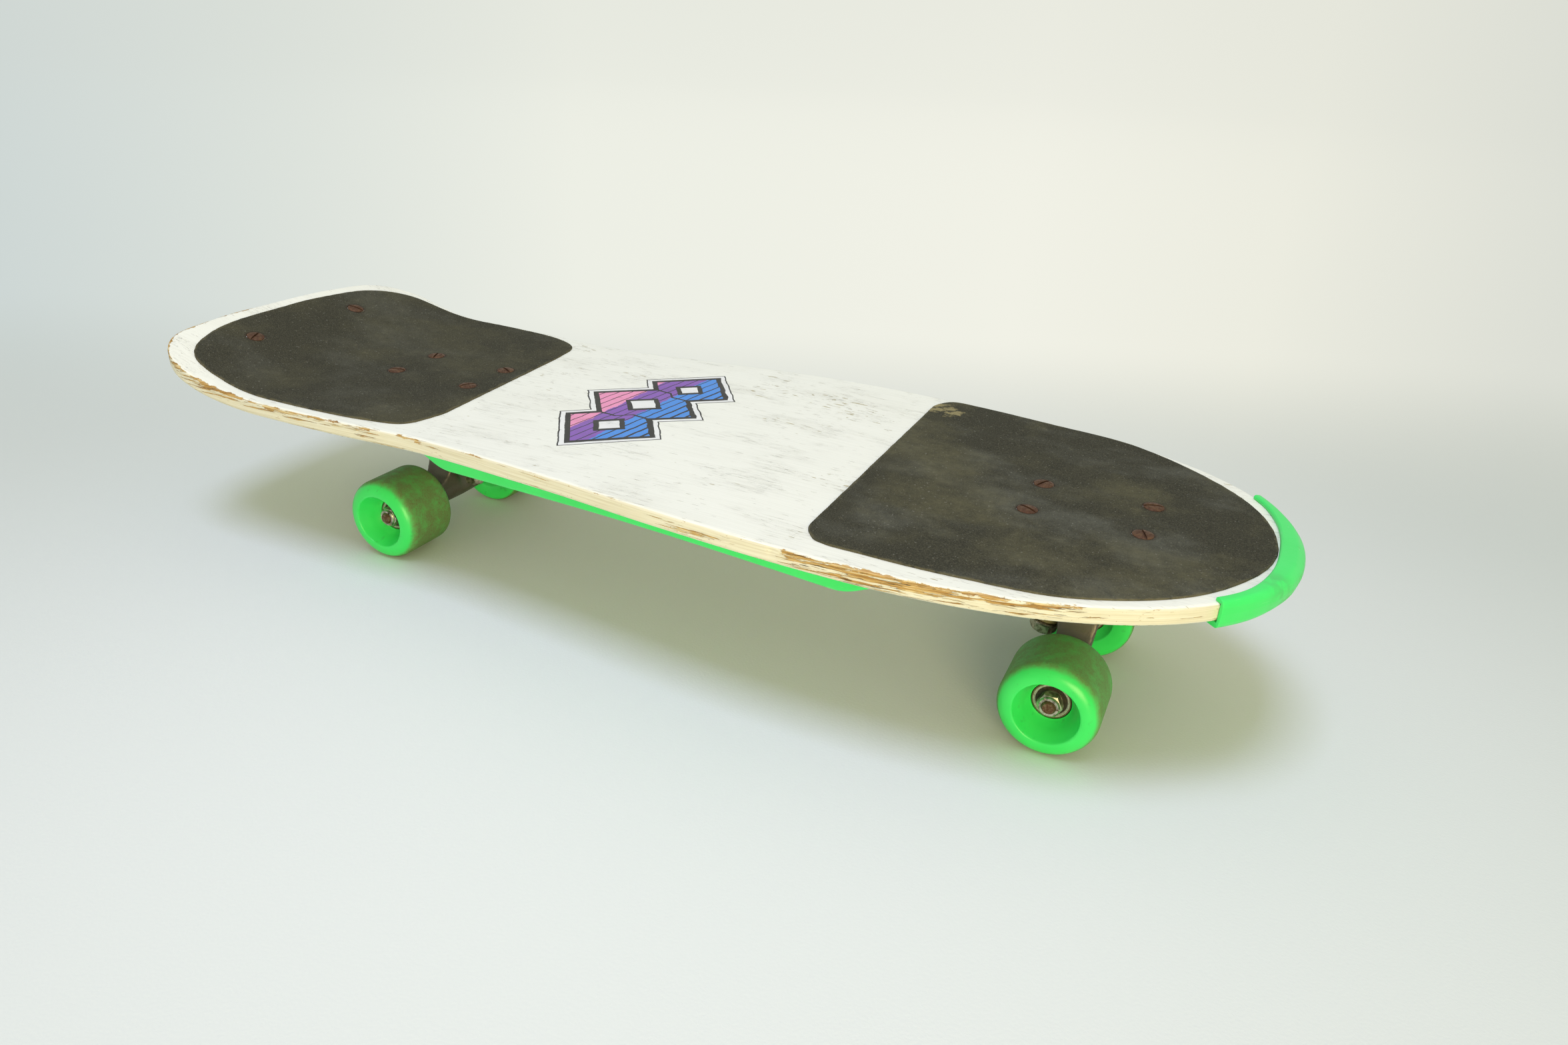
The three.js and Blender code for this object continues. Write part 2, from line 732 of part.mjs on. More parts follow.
// Rails: bars under the edges with long tapered ends.
function makeRail(sign) {
  const half = railLength / 2;
  const taperPlaces = Array.from({ length: railTaperSteps + 1 }, (_, i) => (
    -half + (railTaper * i) / railTaperSteps));
  const straightPlaces = Array.from({ length: railSteps - 1 }, (_, i) => (
    THREE.MathUtils.lerp(railTaper - half, half - railTaper, (i + 1) / railSteps)));
  const mirrored = taperPlaces.map((along) => -along).reverse();
  const rings = [...taperPlaces, ...straightPlaces, ...mirrored].map((along) => {
    const fromEnd = Math.min(1, (half - Math.abs(along)) / railTaper);
    const height = THREE.MathUtils.lerp(railNoseHeight, railHeight, Math.sin((fromEnd * Math.PI) / 2));
    return railSection(height).map(([across, up]) => {
      const point = railPoint(along, across, sign);
      return point.setZ(underAt(point.x) - railGap + up);
    });
  });
  const triangles = [];
  const count = rings[0].length;
  for (let i = 1; i < rings.length; i += 1) {
    for (let j = 0; j < count; j += 1) {
      const next = (j + 1) % count;
      triangles.push(...quad(rings[i - 1][j], rings[i - 1][next], rings[i][next], rings[i][j]));
    }
  }
  const last = rings.length - 1;
  for (let j = 1; j < count - 1; j += 1) {
    triangles.push([rings[0][0], rings[0][j + 1], rings[0][j]]);
    triangles.push([rings[last][0], rings[last][j], rings[last][j + 1]]);
  }
  const oriented = sign > 0 ? triangles.map(([a, b, c]) => [a, c, b]) : triangles;
  const boreRadius = holeRadius(screwHeadRadius, counterboreGap, screwSides);
  const tools = railScrewPlaces.flatMap((along) => {
    const point = railPoint(along, 0, sign);
    const seat = railScrewSeat(point.x);
    return [
      rod(boreRadius, -cutOverrun, 0, screwSides).translate(point.x, point.y, seat),
      screwRoom(screwDepth + railHeight).translate(point.x, point.y, seat),
    ];
  });
  return toGeometry(cut(toSolid(fromTriangles(oriented)), tools));
}

// Section of a rail of a given height, flat on top and round below.
function railSection(height) {
  const half = railWidth / 2;
  const round = Math.min(railRound, height / 2);
  const corner = round * railCornerShare;
  return [
    [half, 0], [half, -height + round], [half - corner, -height + corner], [half - round, -height],
    [-half + round, -height], [-half + corner, -height + corner], [-half, -height + round], [-half, 0],
  ];
}

// The head of a rail screw seats half-way up the bar.
function railScrewSeat(x) {
  return underAt(x) - railGap - railHeight / 2;
}

sides.forEach(({ name, sign }) => {
  addPiece(skateboard, `rail_${name}`, makeRail(sign), "plastic");
  railScrewPlaces.forEach((along, i) => {
    const point = railPoint(along, 0, sign);
    const screw = woodScrew(screwDepth + railHeight / 2);
    screw.translate(point.x, point.y, railScrewSeat(point.x) - stackGap);
    addPiece(skateboard, `rail_${name}_screw_${i + 1}`, screw, "zincSteel");
  });
});

// Tail skid: a bowed plastic bar on the kick's underside, held by two bolts whose nuts sink into it.
function makeTailSkid() {
  const [x, y] = [skidLength / 2 - skidBevel, skidWidth / 2 - skidBevel];
  const shape = new THREE.Shape();
  shape.moveTo(-x + skidBow, -y);
  shape.quadraticCurveTo(-x - skidBow, 0, -x + skidBow, y);
  shape.lineTo(x - skidBow, y);
  shape.quadraticCurveTo(x + skidBow / 2, y, x, y - 2 * skidBow);
  shape.lineTo(x, -y + 2 * skidBow);
  shape.quadraticCurveTo(x + skidBow / 2, -y, x - skidBow, -y);
  const body = new THREE.ExtrudeGeometry(shape, {
    depth: skidThickness - 2 * skidBevel,
    bevelThickness: skidBevel,
    bevelSize: skidBevel,
    bevelSegments: 1,
    curveSegments: 5,
  });
  body.translate(0, 0, -skidThickness + skidBevel - skidGap);
  const holeWide = holeRadius(boltRadius, boltGap, boltSides);
  const wellWide = boltNutAcross / 2 / Math.cos(Math.PI / 6) + skidNutRoom;
  const tools = skidBoltYs.flatMap((place) => [
    rod(holeWide, -cutOverrun, cutOverrun, boltSides).translate(0, place, 0),
    rod(wellWide, -cutOverrun, skidNutSeat, boltSides).translate(0, place, 0),
  ]);
  return toGeometry(cut(toSolid(body), tools));
}
addPiece(skidGroup, "tail_skid", makeTailSkid(), "plastic");
skidBoltYs.forEach((y, i) => {
  const clampLength = headSeat + deckThickness - skidNutSeat + boltGap;
  const bolt = slottedBolt(clampLength, slotTurnShares[i] * Math.PI);
  bolt.translate(0, y, deckThickness + headSeat);
  addPiece(skidGroup, `skid_bolt_${sides[i].name}`, bolt, "rustySteel");
});

// Heights along the kingpin, measured from the baseplate's top face.
const halfRing = ringThickness / 2;
const topBushingEnd = ringAlong - halfRing - stackGap;
const topBushingStart = topBushingEnd - topBushingHeight;
const topWasherEnd = topBushingStart - stackGap;
const bossSeat = topWasherEnd - cupWasherThickness - stackGap;
const lowBushingStart = ringAlong + halfRing + stackGap;
const lowBushingEnd = lowBushingStart + lowBushingHeight;
const lowWasherStart = lowBushingEnd + stackGap;
const kingpinNutStart = lowWasherStart + cupWasherThickness + stackGap;
const kingpinNutEnd = kingpinNutStart + kingpinNutHeight;
const kingpinEnd = kingpinNutEnd + kingpinStub;

function onKingpin(geometry) {
  return leaned(geometry, kingpinTilt, kingpinTopX, 0);
}

// The pivot axis runs from the pivot ball down to the middle of the ring.
function onPivot(geometry) {
  return leaned(geometry, Math.PI / 2 - pivotAngle, pivotX, pivotDepth);
}

function makeRiser() {
  const [length, width] = [plateLength + 2 * riserMargin, plateWidth + 2 * riserMargin];
  const shape = rectangle(length, width, plateCorner + riserMargin);
  const holeWide = holeRadius(boltRadius, boltGap, boltSides);
  const tools = boltPlaces.map((place) => (
    rod(holeWide, -cutOverrun, riserThickness + cutOverrun, boltSides).translate(place.x, place.y, 0)));
  return toGeometry(cut(toSolid(slab(shape, 0, riserThickness, 3)), tools));
}

function makeBaseplate() {
  const ribShape = new THREE.Shape();
  const ribDrop = bossSeat * ribDropShare;
  ribShape.moveTo(kingpinTopX - bossRadius - plateThickness, -plateThickness / 2);
  ribShape.lineTo(kingpinTopX - bossRadius / 2, -ribDrop);
  ribShape.lineTo(pivotX, -ribDrop);
  ribShape.lineTo(pivotX + pivotHousingRadius, -plateThickness / 2);
  const rib = slab(ribShape, -ribWidth / 2, ribWidth / 2).rotateX(Math.PI / 2);
  const housingTop = -pivotCupDepth - pivotHousingWall / 2;
  const body = joined([
    slab(rectangle(plateLength, plateWidth, plateCorner), -plateThickness, 0, 3),
    onKingpin(rod(bossRadius, 0, bossSeat, turnedSides, bossRadius - stackGap)),
    onPivot(rod(pivotHousingRadius, housingTop, pivotCupMouth - stackGap, turnedSides)),
    rib,
  ]);
  const above = new THREE.BoxGeometry(2 * plateLength, 2 * plateWidth, cutOverrun);
  const pinRoom = holeRadius(kingpinRadius, shaftGap, turnedSides);
  const headRoom = holeRadius(kingpinHeadRadius, stackGap, turnedSides);
  const cupRoom = pivotCupRadius + shaftGap;
  const armRoom = pivotArmRadius + hangerClearance;
  const headSpace = kingpinHeadSink + kingpinHeadHeight + stackGap;
  const tools = [
    above.translate(0, 0, cutOverrun / 2),
    onKingpin(rod(pinRoom, -cutOverrun, ringAlong, turnedSides)),
    onKingpin(rod(headRoom, -cutOverrun, headSpace, turnedSides)),
    onPivot(rod(cupRoom, -pivotCupDepth - shaftGap, pivotCupMouth + shaftGap, turnedSides)),
    onPivot(rod(armRoom, pivotCupMouth - stackGap, ringAlong, turnedSides)),
    onKingpin(rod(bossRadius + ringRadius, bossSeat, bossSeat + cutOverrun, turnedSides)),
  ];
  boltPlaces.forEach((place) => {
    const hole = rod(holeRadius(boltRadius, boltGap, boltSides), -cutOverrun, cutOverrun, boltSides);
    tools.push(hole.translate(place.x, place.y, 0));
  });
  return toGeometry(cut(body, tools));
}

// Pivot cup: a plastic thimble in the baseplate round the hanger's ball.
function makePivotCup() {
  const inner = pivotBallRadius + pivotCupGap;
  const diagonal = Math.SQRT1_2;
  return onPivot(turned([
    [0, -pivotCupDepth], [pivotCupRadius, -pivotCupDepth], [pivotCupRadius, pivotCupMouth],
    [inner, pivotCupMouth], [inner, 0], [inner * diagonal, -inner * diagonal], [0, -inner],
  ], turnedSides));
}

function makeKingpin() {
  const headEnd = kingpinHeadSink + kingpinHeadHeight;
  return onKingpin(turned([
    [0, kingpinHeadSink], [kingpinHeadRadius, kingpinHeadSink], [kingpinHeadRadius, headEnd],
    [kingpinRadius, headEnd], [kingpinRadius, kingpinEnd - axleChamfer],
    [kingpinRadius - axleChamfer, kingpinEnd], [0, kingpinEnd],
  ], turnedSides));
}

function makeKingpinNut() {
  const boreRadius = holeRadius(kingpinRadius, shaftGap, turnedSides);
  const bore = rod(boreRadius, 0, kingpinEnd + cutOverrun, turnedSides);
  const nut = joined([hexPrism(kingpinNutAcross, kingpinNutStart, kingpinNutEnd)]);
  return onKingpin(toGeometry(cut(nut, [bore])));
}

function makeTopBushing() {
  const bore = holeRadius(kingpinRadius, shaftGap, turnedSides);
  const middle = (topBushingStart + topBushingEnd) / 2;
  return onKingpin(turned([
    [bore, topBushingStart], [bushingRadius, topBushingStart], [bushingRadius - bushingWaist, middle],
    [bushingRadius, topBushingEnd], [bore, topBushingEnd],
  ], turnedSides, true));
}

function makeLowBushing() {
  const bore = holeRadius(kingpinRadius, shaftGap, turnedSides);
  return onKingpin(turned([
    [bore, lowBushingStart], [bushingRadius, lowBushingStart],
    [bushingRadius, lowBushingStart + bushingWaist], [lowBushingEndRadius, lowBushingEnd],
    [bore, lowBushingEnd],
  ], turnedSides, true));
}

function makeCupWasher(start) {
  const bore = holeRadius(kingpinRadius, shaftGap, turnedSides);
  return onKingpin(turned([
    [bore, start], [cupWasherRadius, start], [cupWasherRadius, start + cupWasherThickness],
    [bore, start + cupWasherThickness],
  ], turnedSides, true));
}

// Hanger: a web between the ring, the pivot arm and the axle beam, shaped by three profiles.
function hangerWeb() {
  const beamTop = -truckHeight + hangerBeamRadius;
  const waistZ = -(ringDepth + halfRing);
  const reach = hangerHalfWidth * webReachShare;
  const elbow = ringRadius + hangerBeamRadius / 2;
  const front = new THREE.Shape();
  front.moveTo(-pivotArmRadius, -pivotDepth);
  front.lineTo(pivotArmRadius, -pivotDepth);
  front.lineTo(ringRadius, waistZ);
  front.quadraticCurveTo(elbow, beamTop, reach, beamTop);
  front.lineTo(reach, -truckHeight);
  front.lineTo(-reach, -truckHeight);
  front.lineTo(-reach, beamTop);
  front.quadraticCurveTo(-elbow, beamTop, -ringRadius, waistZ);
  const side = new THREE.Shape();
  side.moveTo(axleOffset + hangerBeamRadius + webHeel, -truckHeight);
  side.lineTo(pivotX, -2 * pivotDepth);
  side.lineTo(pivotX - pivotArmRadius, -pivotDepth);
  side.lineTo(ringX + ringRadius * webNeckTopShare, -ringDepth + halfRing);
  side.lineTo(ringX + ringRadius * webNeckBaseShare, -ringDepth - halfRing);
  side.lineTo(axleOffset - hangerBeamRadius, -truckHeight);
  const tip = hangerBeamRadius * webTipShare;
  const far = ringRadius * webFarShare;
  const top = new THREE.Shape();
  top.moveTo(axleOffset - ringRadius, -ringRadius);
  top.lineTo(axleOffset - tip, -reach);
  top.lineTo(axleOffset + tip, -reach);
  top.lineTo(pivotX, -far);
  top.lineTo(pivotX, far);
  top.lineTo(axleOffset + tip, reach);
  top.lineTo(axleOffset - tip, reach);
  top.lineTo(axleOffset - ringRadius, ringRadius);
  const wide = plateLength;
  return common([
    slab(front, -wide, wide, 5).rotateX(Math.PI / 2).rotateZ(Math.PI / 2),
    slab(side, -wide, wide).rotateX(Math.PI / 2),
    slab(top, -wide - truckHeight, wide),
  ]);
}

// The middle of a hanger's beam is a little thicker than its ends.
function hangerBeam() {
  const surface = hangerBeamShares.map((share) => [
    hangerBeamRadius + hangerBeamFlare * (1 - share ** 2), share * hangerHalfWidth]);
  return turned([[0, -hangerHalfWidth], ...surface, [0, hangerHalfWidth]], turnedSides);
}

function makeHanger() {
  const ring = onKingpin(rod(ringRadius, ringAlong - halfRing, ringAlong + halfRing, turnedSides));
  const ball = pivotBallRadius;
  const arm = onPivot(turned([
    [0, -ball], [ball * Math.SQRT1_2, -ball * Math.SQRT1_2], [ball, 0], [ball, pivotCupMouth],
    [pivotArmRadius, pivotCupMouth + pivotCupWall], [pivotArmRadius, pivotArmLength], [0, pivotArmLength],
  ], turnedSides));
  const stackRoom = bushingRadius + hangerClearance;
  const web = cut(hangerWeb(), [
    onPivot(rod(plateLength, -plateLength, pivotCupMouth + pivotCupWall, turnedSides)),
    onKingpin(rod(stackRoom, -cutOverrun, ringAlong - halfRing, turnedSides)),
  ]);
  const pieces = [onAxleLine(hangerBeam()), ring, arm];
  const body = pieces.reduce((whole, piece) => whole.add(toSolid(piece)), web);
  const boreRadius = holeRadius(axleRadius, runningGap, bearingSides);
  return toGeometry(cut(body, [
    onKingpin(rod(ringBoreRadius, 0, kingpinEnd + cutOverrun, turnedSides)),
    onKingpin(rod(stackRoom, -cutOverrun, ringAlong - halfRing, turnedSides)),
    onKingpin(rod(stackRoom, ringAlong + halfRing, kingpinEnd + cutOverrun, turnedSides)),
    onAxleLine(rod(boreRadius, -axleReach, axleReach, bearingSides)),
  ]));
}

// Lays a turned piece along the axle's line.
function onAxleLine(geometry) {
  return geometry.rotateX(Math.PI / 2).translate(axleOffset, 0, -truckHeight);
}

function makeAxle() {
  const inner = axleRadius - axleChamfer;
  return onAxleLine(turned([
    [0, -axleReach], [inner, -axleReach], [axleRadius, -axleReach + axleChamfer],
    [axleRadius, axleReach - axleChamfer], [inner, axleReach], [0, axleReach],
  ], bearingSides));
}

// Lays a piece that is turned about Z, and measured outwards from the truck's middle, on the axle.
function onAxle(geometry, sign) {
  return geometry.rotateX((-sign * Math.PI) / 2).translate(axleOffset, 0, -truckHeight);
}

function arcPoints(centreR, centreZ, radius, from, to, steps) {
  return Array.from({ length: steps + 1 }, (_, i) => {
    const turn = THREE.MathUtils.lerp(from, to, i / steps);
    return [centreR + radius * Math.cos(turn), centreZ + radius * Math.sin(turn)];
  });
}

// Wheel: round-lipped tyre with a deep conical recess on the outside and bearing seats in its core.
function makeWheel(sign) {
  const seat = holeRadius(bearingRadius, bearingSeatGap, wheelSides);
  const core = seat - coreShoulder;
  const outerSeatEnd = bearingOuterFace - bearingWidth - bearingSeatGap;
  const innerSeatEnd = bearingInnerFace + bearingWidth + bearingSeatGap;
  const outerCentre = [wheelRadius - wheelOuterRound, wheelOuterFace - wheelOuterRound];
  const innerCentre = [wheelRadius - wheelInnerRound, wheelInnerFace + wheelInnerRound];
  return onAxle(turned([
    [seat, bearingOuterFace],
    [wheelMouthRadius, wheelOuterFace - wheelMouthRound],
    [wheelMouthRadius + wheelMouthRound, wheelOuterFace],
    ...arcPoints(...outerCentre, wheelOuterRound, Math.PI / 2, 0, 3),
    ...arcPoints(...innerCentre, wheelInnerRound, 0, -Math.PI / 2, 2),
    [wheelInnerMouthRadius, wheelInnerFace],
    [seat, bearingInnerFace],
    [seat, innerSeatEnd], [core, innerSeatEnd], [core, outerSeatEnd], [seat, outerSeatEnd],
  ], wheelSides, true), sign);
}

// Bearing pair: two shielded ball bearings joined by the spacer sleeve between them.
function makeBearingPair(sign) {
  const bore = holeRadius(axleRadius, runningGap, bearingSides);
  const raceInner = bearingRadius - bearingRaceWall;
  const [outer, inner] = [bearingOuterFace, bearingInnerFace];
  return onAxle(turned([
    [bore, inner], [bearingRadius, inner], [bearingRadius, inner + bearingWidth],
    [spacerRadius, inner + bearingWidth], [spacerRadius, outer - bearingWidth],
    [bearingRadius, outer - bearingWidth], [bearingRadius, outer], [raceInner, outer],
    [raceInner, outer - bearingShieldSink], [innerRaceRadius, outer - bearingShieldSink],
    [innerRaceRadius, outer], [bore, outer],
  ], bearingSides, true), sign);
}

function makeAxleNut(sign) {
  const start = bearingOuterFace + axleNutSeatGap;
  const end = start + axleNutHeight;
  const collarRadius = axleNutAcross / 2 - shaftGap;
  const collarEnd = collarRadius - axleNutCollar / 2;
  const nut = joined([
    hexPrism(axleNutAcross, start, end),
    rod(collarRadius, end - shaftGap, end + axleNutCollar, boltSides, collarEnd),
  ]);
  const boreRadius = holeRadius(axleRadius, runningGap, bearingSides);
  const bore = rod(boreRadius, -cutOverrun, 2 * axleReach, bearingSides);
  return onAxle(toGeometry(cut(nut, [bore])), sign);
}

// Trucks. The rear one faces the other way.
trucks.forEach((truck) => {
  const group = new THREE.Group();
  group.position.set(truck.x, 0, plateTopZ);
  group.rotation.z = truck.turn;
  skateboard.add(group);
  const name = (piece) => `${truck.name}_${piece}`;
  addPiece(group, name("riser"), makeRiser(), "rubber");
  addPiece(group, name("baseplate"), makeBaseplate(), "castMetal");
  addPiece(group, name("pivot_cup"), makePivotCup(), "rubber");
  addPiece(group, name("kingpin"), makeKingpin(), "zincSteel");
  addPiece(group, name("kingpin_nut"), makeKingpinNut(), "zincSteel");
  addPiece(group, name("bushing_top"), makeTopBushing(), "bushing");
  addPiece(group, name("bushing_low"), makeLowBushing(), "bushing");
  addPiece(group, name("cup_washer_top"), makeCupWasher(topWasherEnd - cupWasherThickness), "zincSteel");
  addPiece(group, name("cup_washer_low"), makeCupWasher(lowWasherStart), "zincSteel");
  addPiece(group, name("hanger"), makeHanger(), "castMetal");
  addPiece(group, name("axle"), makeAxle(), "rustySteel");
  boltPlaces.forEach((place, i) => {
    const clampLength = headSeat + deckThickness + riserThickness + plateThickness + boltGap;
    const bolt = slottedBolt(clampLength, slotTurnShares[i] * Math.PI);
    bolt.translate(place.x, place.y, riserThickness + deckThickness + headSeat);
    addPiece(group, name(`bolt_${i + 1}`), bolt, "rustySteel");
  });
  sides.forEach((side) => {
    // A turned truck swaps its sides.
    const sign = truck.turn === 0 ? side.sign : -side.sign;
    addPiece(group, name(`wheel_${side.name}`), makeWheel(sign), "plastic");
    addPiece(group, name(`bearings_${side.name}`), makeBearingPair(sign), "bearingSteel");
    addPiece(group, name(`axle_nut_${side.name}`), makeAxleNut(sign), "zincSteel");
  });
});

export default skateboard;
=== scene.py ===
"""Used wide kicktail skateboard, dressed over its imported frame.

Places are in metres in the frame: +X to the nose, +Y to the left edge, +Z up from the floor.
Meshes are shaped in millimetres and scaled once, when they become an object.
"""

import logging
import math
from collections.abc import Callable, Iterable, Sequence
from dataclasses import dataclass
from enum import Enum

import bmesh
import bpy
from mathutils import Matrix, Vector, noise
from mathutils.kdtree import KDTree


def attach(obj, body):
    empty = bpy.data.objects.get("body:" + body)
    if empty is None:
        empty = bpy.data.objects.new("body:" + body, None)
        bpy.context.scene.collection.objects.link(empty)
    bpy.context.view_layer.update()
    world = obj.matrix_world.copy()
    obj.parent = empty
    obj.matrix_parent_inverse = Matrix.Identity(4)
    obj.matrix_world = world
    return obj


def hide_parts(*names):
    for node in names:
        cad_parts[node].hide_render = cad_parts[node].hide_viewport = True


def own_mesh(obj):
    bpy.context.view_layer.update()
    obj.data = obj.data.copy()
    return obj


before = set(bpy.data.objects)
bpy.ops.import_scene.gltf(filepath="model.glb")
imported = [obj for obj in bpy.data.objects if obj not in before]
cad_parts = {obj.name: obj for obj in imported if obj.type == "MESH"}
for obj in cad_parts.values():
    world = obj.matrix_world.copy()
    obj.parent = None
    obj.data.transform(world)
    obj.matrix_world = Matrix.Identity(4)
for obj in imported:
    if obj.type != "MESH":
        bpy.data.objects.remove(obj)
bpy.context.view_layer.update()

LOG = logging.getLogger("skateboard")
MM = 0.001
TAU = 2 * math.pi

Colour = tuple[float, float, float, float]
Pair = tuple[float, float]


def srgb(red: int, green: int, blue: int) -> Colour:
    """Turns a colour of 0 to 255 as seen on a screen into a linear one."""
    def linear(level: int) -> float:
        share = level / 255
        return share / 12.92 if share <= 0.04045 else ((share + 0.055) / 1.055) ** 2.4
    return linear(red), linear(green), linear(blue), 1.0


def darker(colour: Colour, share: float) -> Colour:
    """Darkens a colour to a share of its light."""
    return tuple(level * share for level in colour[:3]) + (1,)


def mix(low: float, high: float, share: float) -> float:
    """Blends two numbers."""
    return low + (high - low) * share


class Value:
    """A number carried by a shader socket. Python's operators add Math nodes."""

    def __init__(self, shader: "Shader", socket: bpy.types.NodeSocket) -> None:
        self.shader = shader
        self.socket = socket

    def __add__(self, other: "Value | float") -> "Value":
        return self.shader.maths("ADD", self, other)

    def __mul__(self, other: "Value | float") -> "Value":
        return self.shader.maths("MULTIPLY", self, other)

    def __sub__(self, other: "Value | float") -> "Value":
        return self.shader.maths("SUBTRACT", self, other)

    def __rsub__(self, other: "Value | float") -> "Value":
        return self.shader.maths("SUBTRACT", other, self)

    def __truediv__(self, other: "Value | float") -> "Value":
        return self.shader.maths("DIVIDE", self, other)

    def __abs__(self) -> "Value":
        return self.shader.maths("ABSOLUTE", self)

    __radd__ = __add__
    __rmul__ = __mul__

    def least(self, other: "Value | float") -> "Value":
        """The smaller of two values."""
        return self.shader.maths("MINIMUM", self, other)

    def most(self, other: "Value | float") -> "Value":
        """The larger of two values."""
        return self.shader.maths("MAXIMUM", self, other)

    def band(self, start: float, end: float) -> "Value":
        """Rises smoothly from 0 at start to 1 at end. It falls where end is the smaller."""
        sockets = {"Value": self, "From Min": start, "From Max": end}
        return Value(self.shader, self.shader.node(
            "ShaderNodeMapRange", {"interpolation_type": "SMOOTHSTEP"}, sockets).outputs[0])

    def clamped(self) -> "Value":
        """Keeps a value from 0 to 1."""
        return self.shader.maths("ADD", self, 0, clamp=True)


class Nodes:
    """A node tree, emptied. All its nodes come from one method."""

    def __init__(self, tree: bpy.types.NodeTree) -> None:
        self.tree = tree
        self.tree.nodes.clear()

    def node(self, kind: str, settings: dict | None = None, sockets: dict | None = None) -> bpy.types.Node:
        """Adds a node.

        Args:
            kind: The node's type.
            settings: Its properties, set before its sockets. Stops fill a colour ramp.
            sockets: Values, links or constants for its inputs, by name or number.

        Returns:
            The new node.
        """
        made = self.tree.nodes.new(kind)
        for key, setting in (settings or {}).items():
            if key == "stops":
                self.fill_ramp(made.color_ramp, setting)
            else:
                setattr(made, key, setting)
        self.plug(made, sockets or {})
        return made

    def plug(self, node: bpy.types.Node, sockets: dict) -> None:
        """Links or sets a node's inputs."""
        for key, given in sockets.items():
            given = given.socket if isinstance(given, Value) else given
            if isinstance(given, bpy.types.NodeSocket):
                self.tree.links.new(given, node.inputs[key])
            else:
                node.inputs[key].default_value = given

    @staticmethod
    def fill_ramp(ramp: bpy.types.ColorRamp, stops: Sequence[tuple[float, Colour]]) -> None:
        """Gives a colour ramp its stops."""
        while len(ramp.elements) < len(stops):
            ramp.elements.new(0.5)
        for element, (place, colour) in zip(ramp.elements, stops):
            element.position, element.color = place, colour


class Shader(Nodes):
    """The node tree of one material. Its places are in millimetres on Object coordinates."""

    def __init__(self, name: str) -> None:
        self.material = bpy.data.materials.new(name)
        self.material.use_nodes = True
        super().__init__(self.material.node_tree)
        self.surface = self.node("ShaderNodeBsdfPrincipled")
        self.node("ShaderNodeOutputMaterial", {}, {"Surface": self.surface.outputs[0]})
        metres = self.node("ShaderNodeTexCoord").outputs["Object"]
        self.place = self.node(
            "ShaderNodeVectorMath", {"operation": "SCALE"}, {0: metres, "Scale": 1 / MM}).outputs[0]

    def maths(self, operation: str, *values: Value | float, clamp: bool = False) -> Value:
        """Adds a Math node on values and numbers."""
        sockets = dict(enumerate(values))
        made = self.node("ShaderNodeMath", {"operation": operation, "use_clamp": clamp}, sockets)
        return Value(self, made.outputs[0])

    def axes(self) -> tuple[Value, Value, Value]:
        """The place as three values in millimetres."""
        outputs = self.node("ShaderNodeSeparateXYZ", {}, {0: self.place}).outputs
        return Value(self, outputs[0]), Value(self, outputs[1]), Value(self, outputs[2])

    def mapped(self, stretch: Sequence[float], turn: float = 0, shift: float = 0) -> bpy.types.NodeSocket:
        """The place divided by a length along each axis, turned about Z and shifted."""
        return self.node("ShaderNodeMapping", {}, {
            "Vector": self.place, "Location": (shift, shift, shift), "Rotation": (0, 0, turn),
            "Scale": tuple(1 / length for length in stretch)}).outputs[0]

    def noise(self, *stretch: float, detail: float = 2, rough: float = 0.5, turn: float = 0,
              shift: float = 0) -> Value:
        """Soft noise from 0 to 1.

        Args:
            stretch: The size of its blotches in millimetres, one for all axes or three.
            detail: Its octaves.
            rough: The share of the fine octaves.
            turn: A turn of the pattern about Z.
            shift: A shift, so that two noises differ.

        Returns:
            The noise.
        """
        sizes = stretch * 3 if len(stretch) == 1 else stretch
        return Value(self, self.node("ShaderNodeTexNoise", {}, {
            "Vector": self.mapped(sizes, turn, shift), "Scale": 1.0, "Detail": detail,
            "Roughness": rough}).outputs[0])

    def attribute(self, name: str) -> Value:
        """A number painted on the mesh."""
        return Value(self, self.node("ShaderNodeAttribute", {"attribute_name": name}).outputs["Fac"])

    def colour(self, share: Value | float, low: object, high: object) -> bpy.types.NodeSocket:
        """Mixes two colours."""
        return self.node("ShaderNodeMix", {"data_type": "RGBA"}, {0: share, 6: low, 7: high}).outputs[2]

    def ramp(self, value: Value, *stops: tuple[float, Colour],
             interpolation: str = "LINEAR") -> bpy.types.NodeSocket:
        """Turns a value into a colour between stops."""
        made = self.node("ShaderNodeValToRGB", {"stops": stops}, {0: value})
        made.color_ramp.interpolation = interpolation
        return made.outputs[0]

    def near(self, x: float, y: float, reach: float) -> Value:
        """Falls from 1 at a place on the board to 0 at a reach, in millimetres."""
        flat = self.node("ShaderNodeVectorMath", {"operation": "MULTIPLY"}, {0: self.place, 1: (1, 1, 0)})
        gap = self.node("ShaderNodeVectorMath", {"operation": "DISTANCE"}, {0: flat.outputs[0], 1: (x, y, 0)})
        return Value(self, gap.outputs["Value"]).band(reach, 0)

    def dress(self, base: object, rough: object, metal: object, relief: Value, depth: float,
              specular: float = 0.5) -> None:
        """Sets the surface.

        Args:
            base: Its colour.
            rough: Its roughness.
            metal: Its metallic share.
            relief: A height from 0 to 1 for the bump.
            depth: The bump's depth in millimetres.
            specular: Its specular level.
        """
        bump = self.node("ShaderNodeBump", {}, {"Height": relief, "Distance": depth * MM, "Strength": 1.0})
        self.plug(self.surface, {
            "Base Color": base, "Roughness": rough, "Metallic": metal, "Normal": bump.outputs[0],
            "Specular IOR Level": specular})


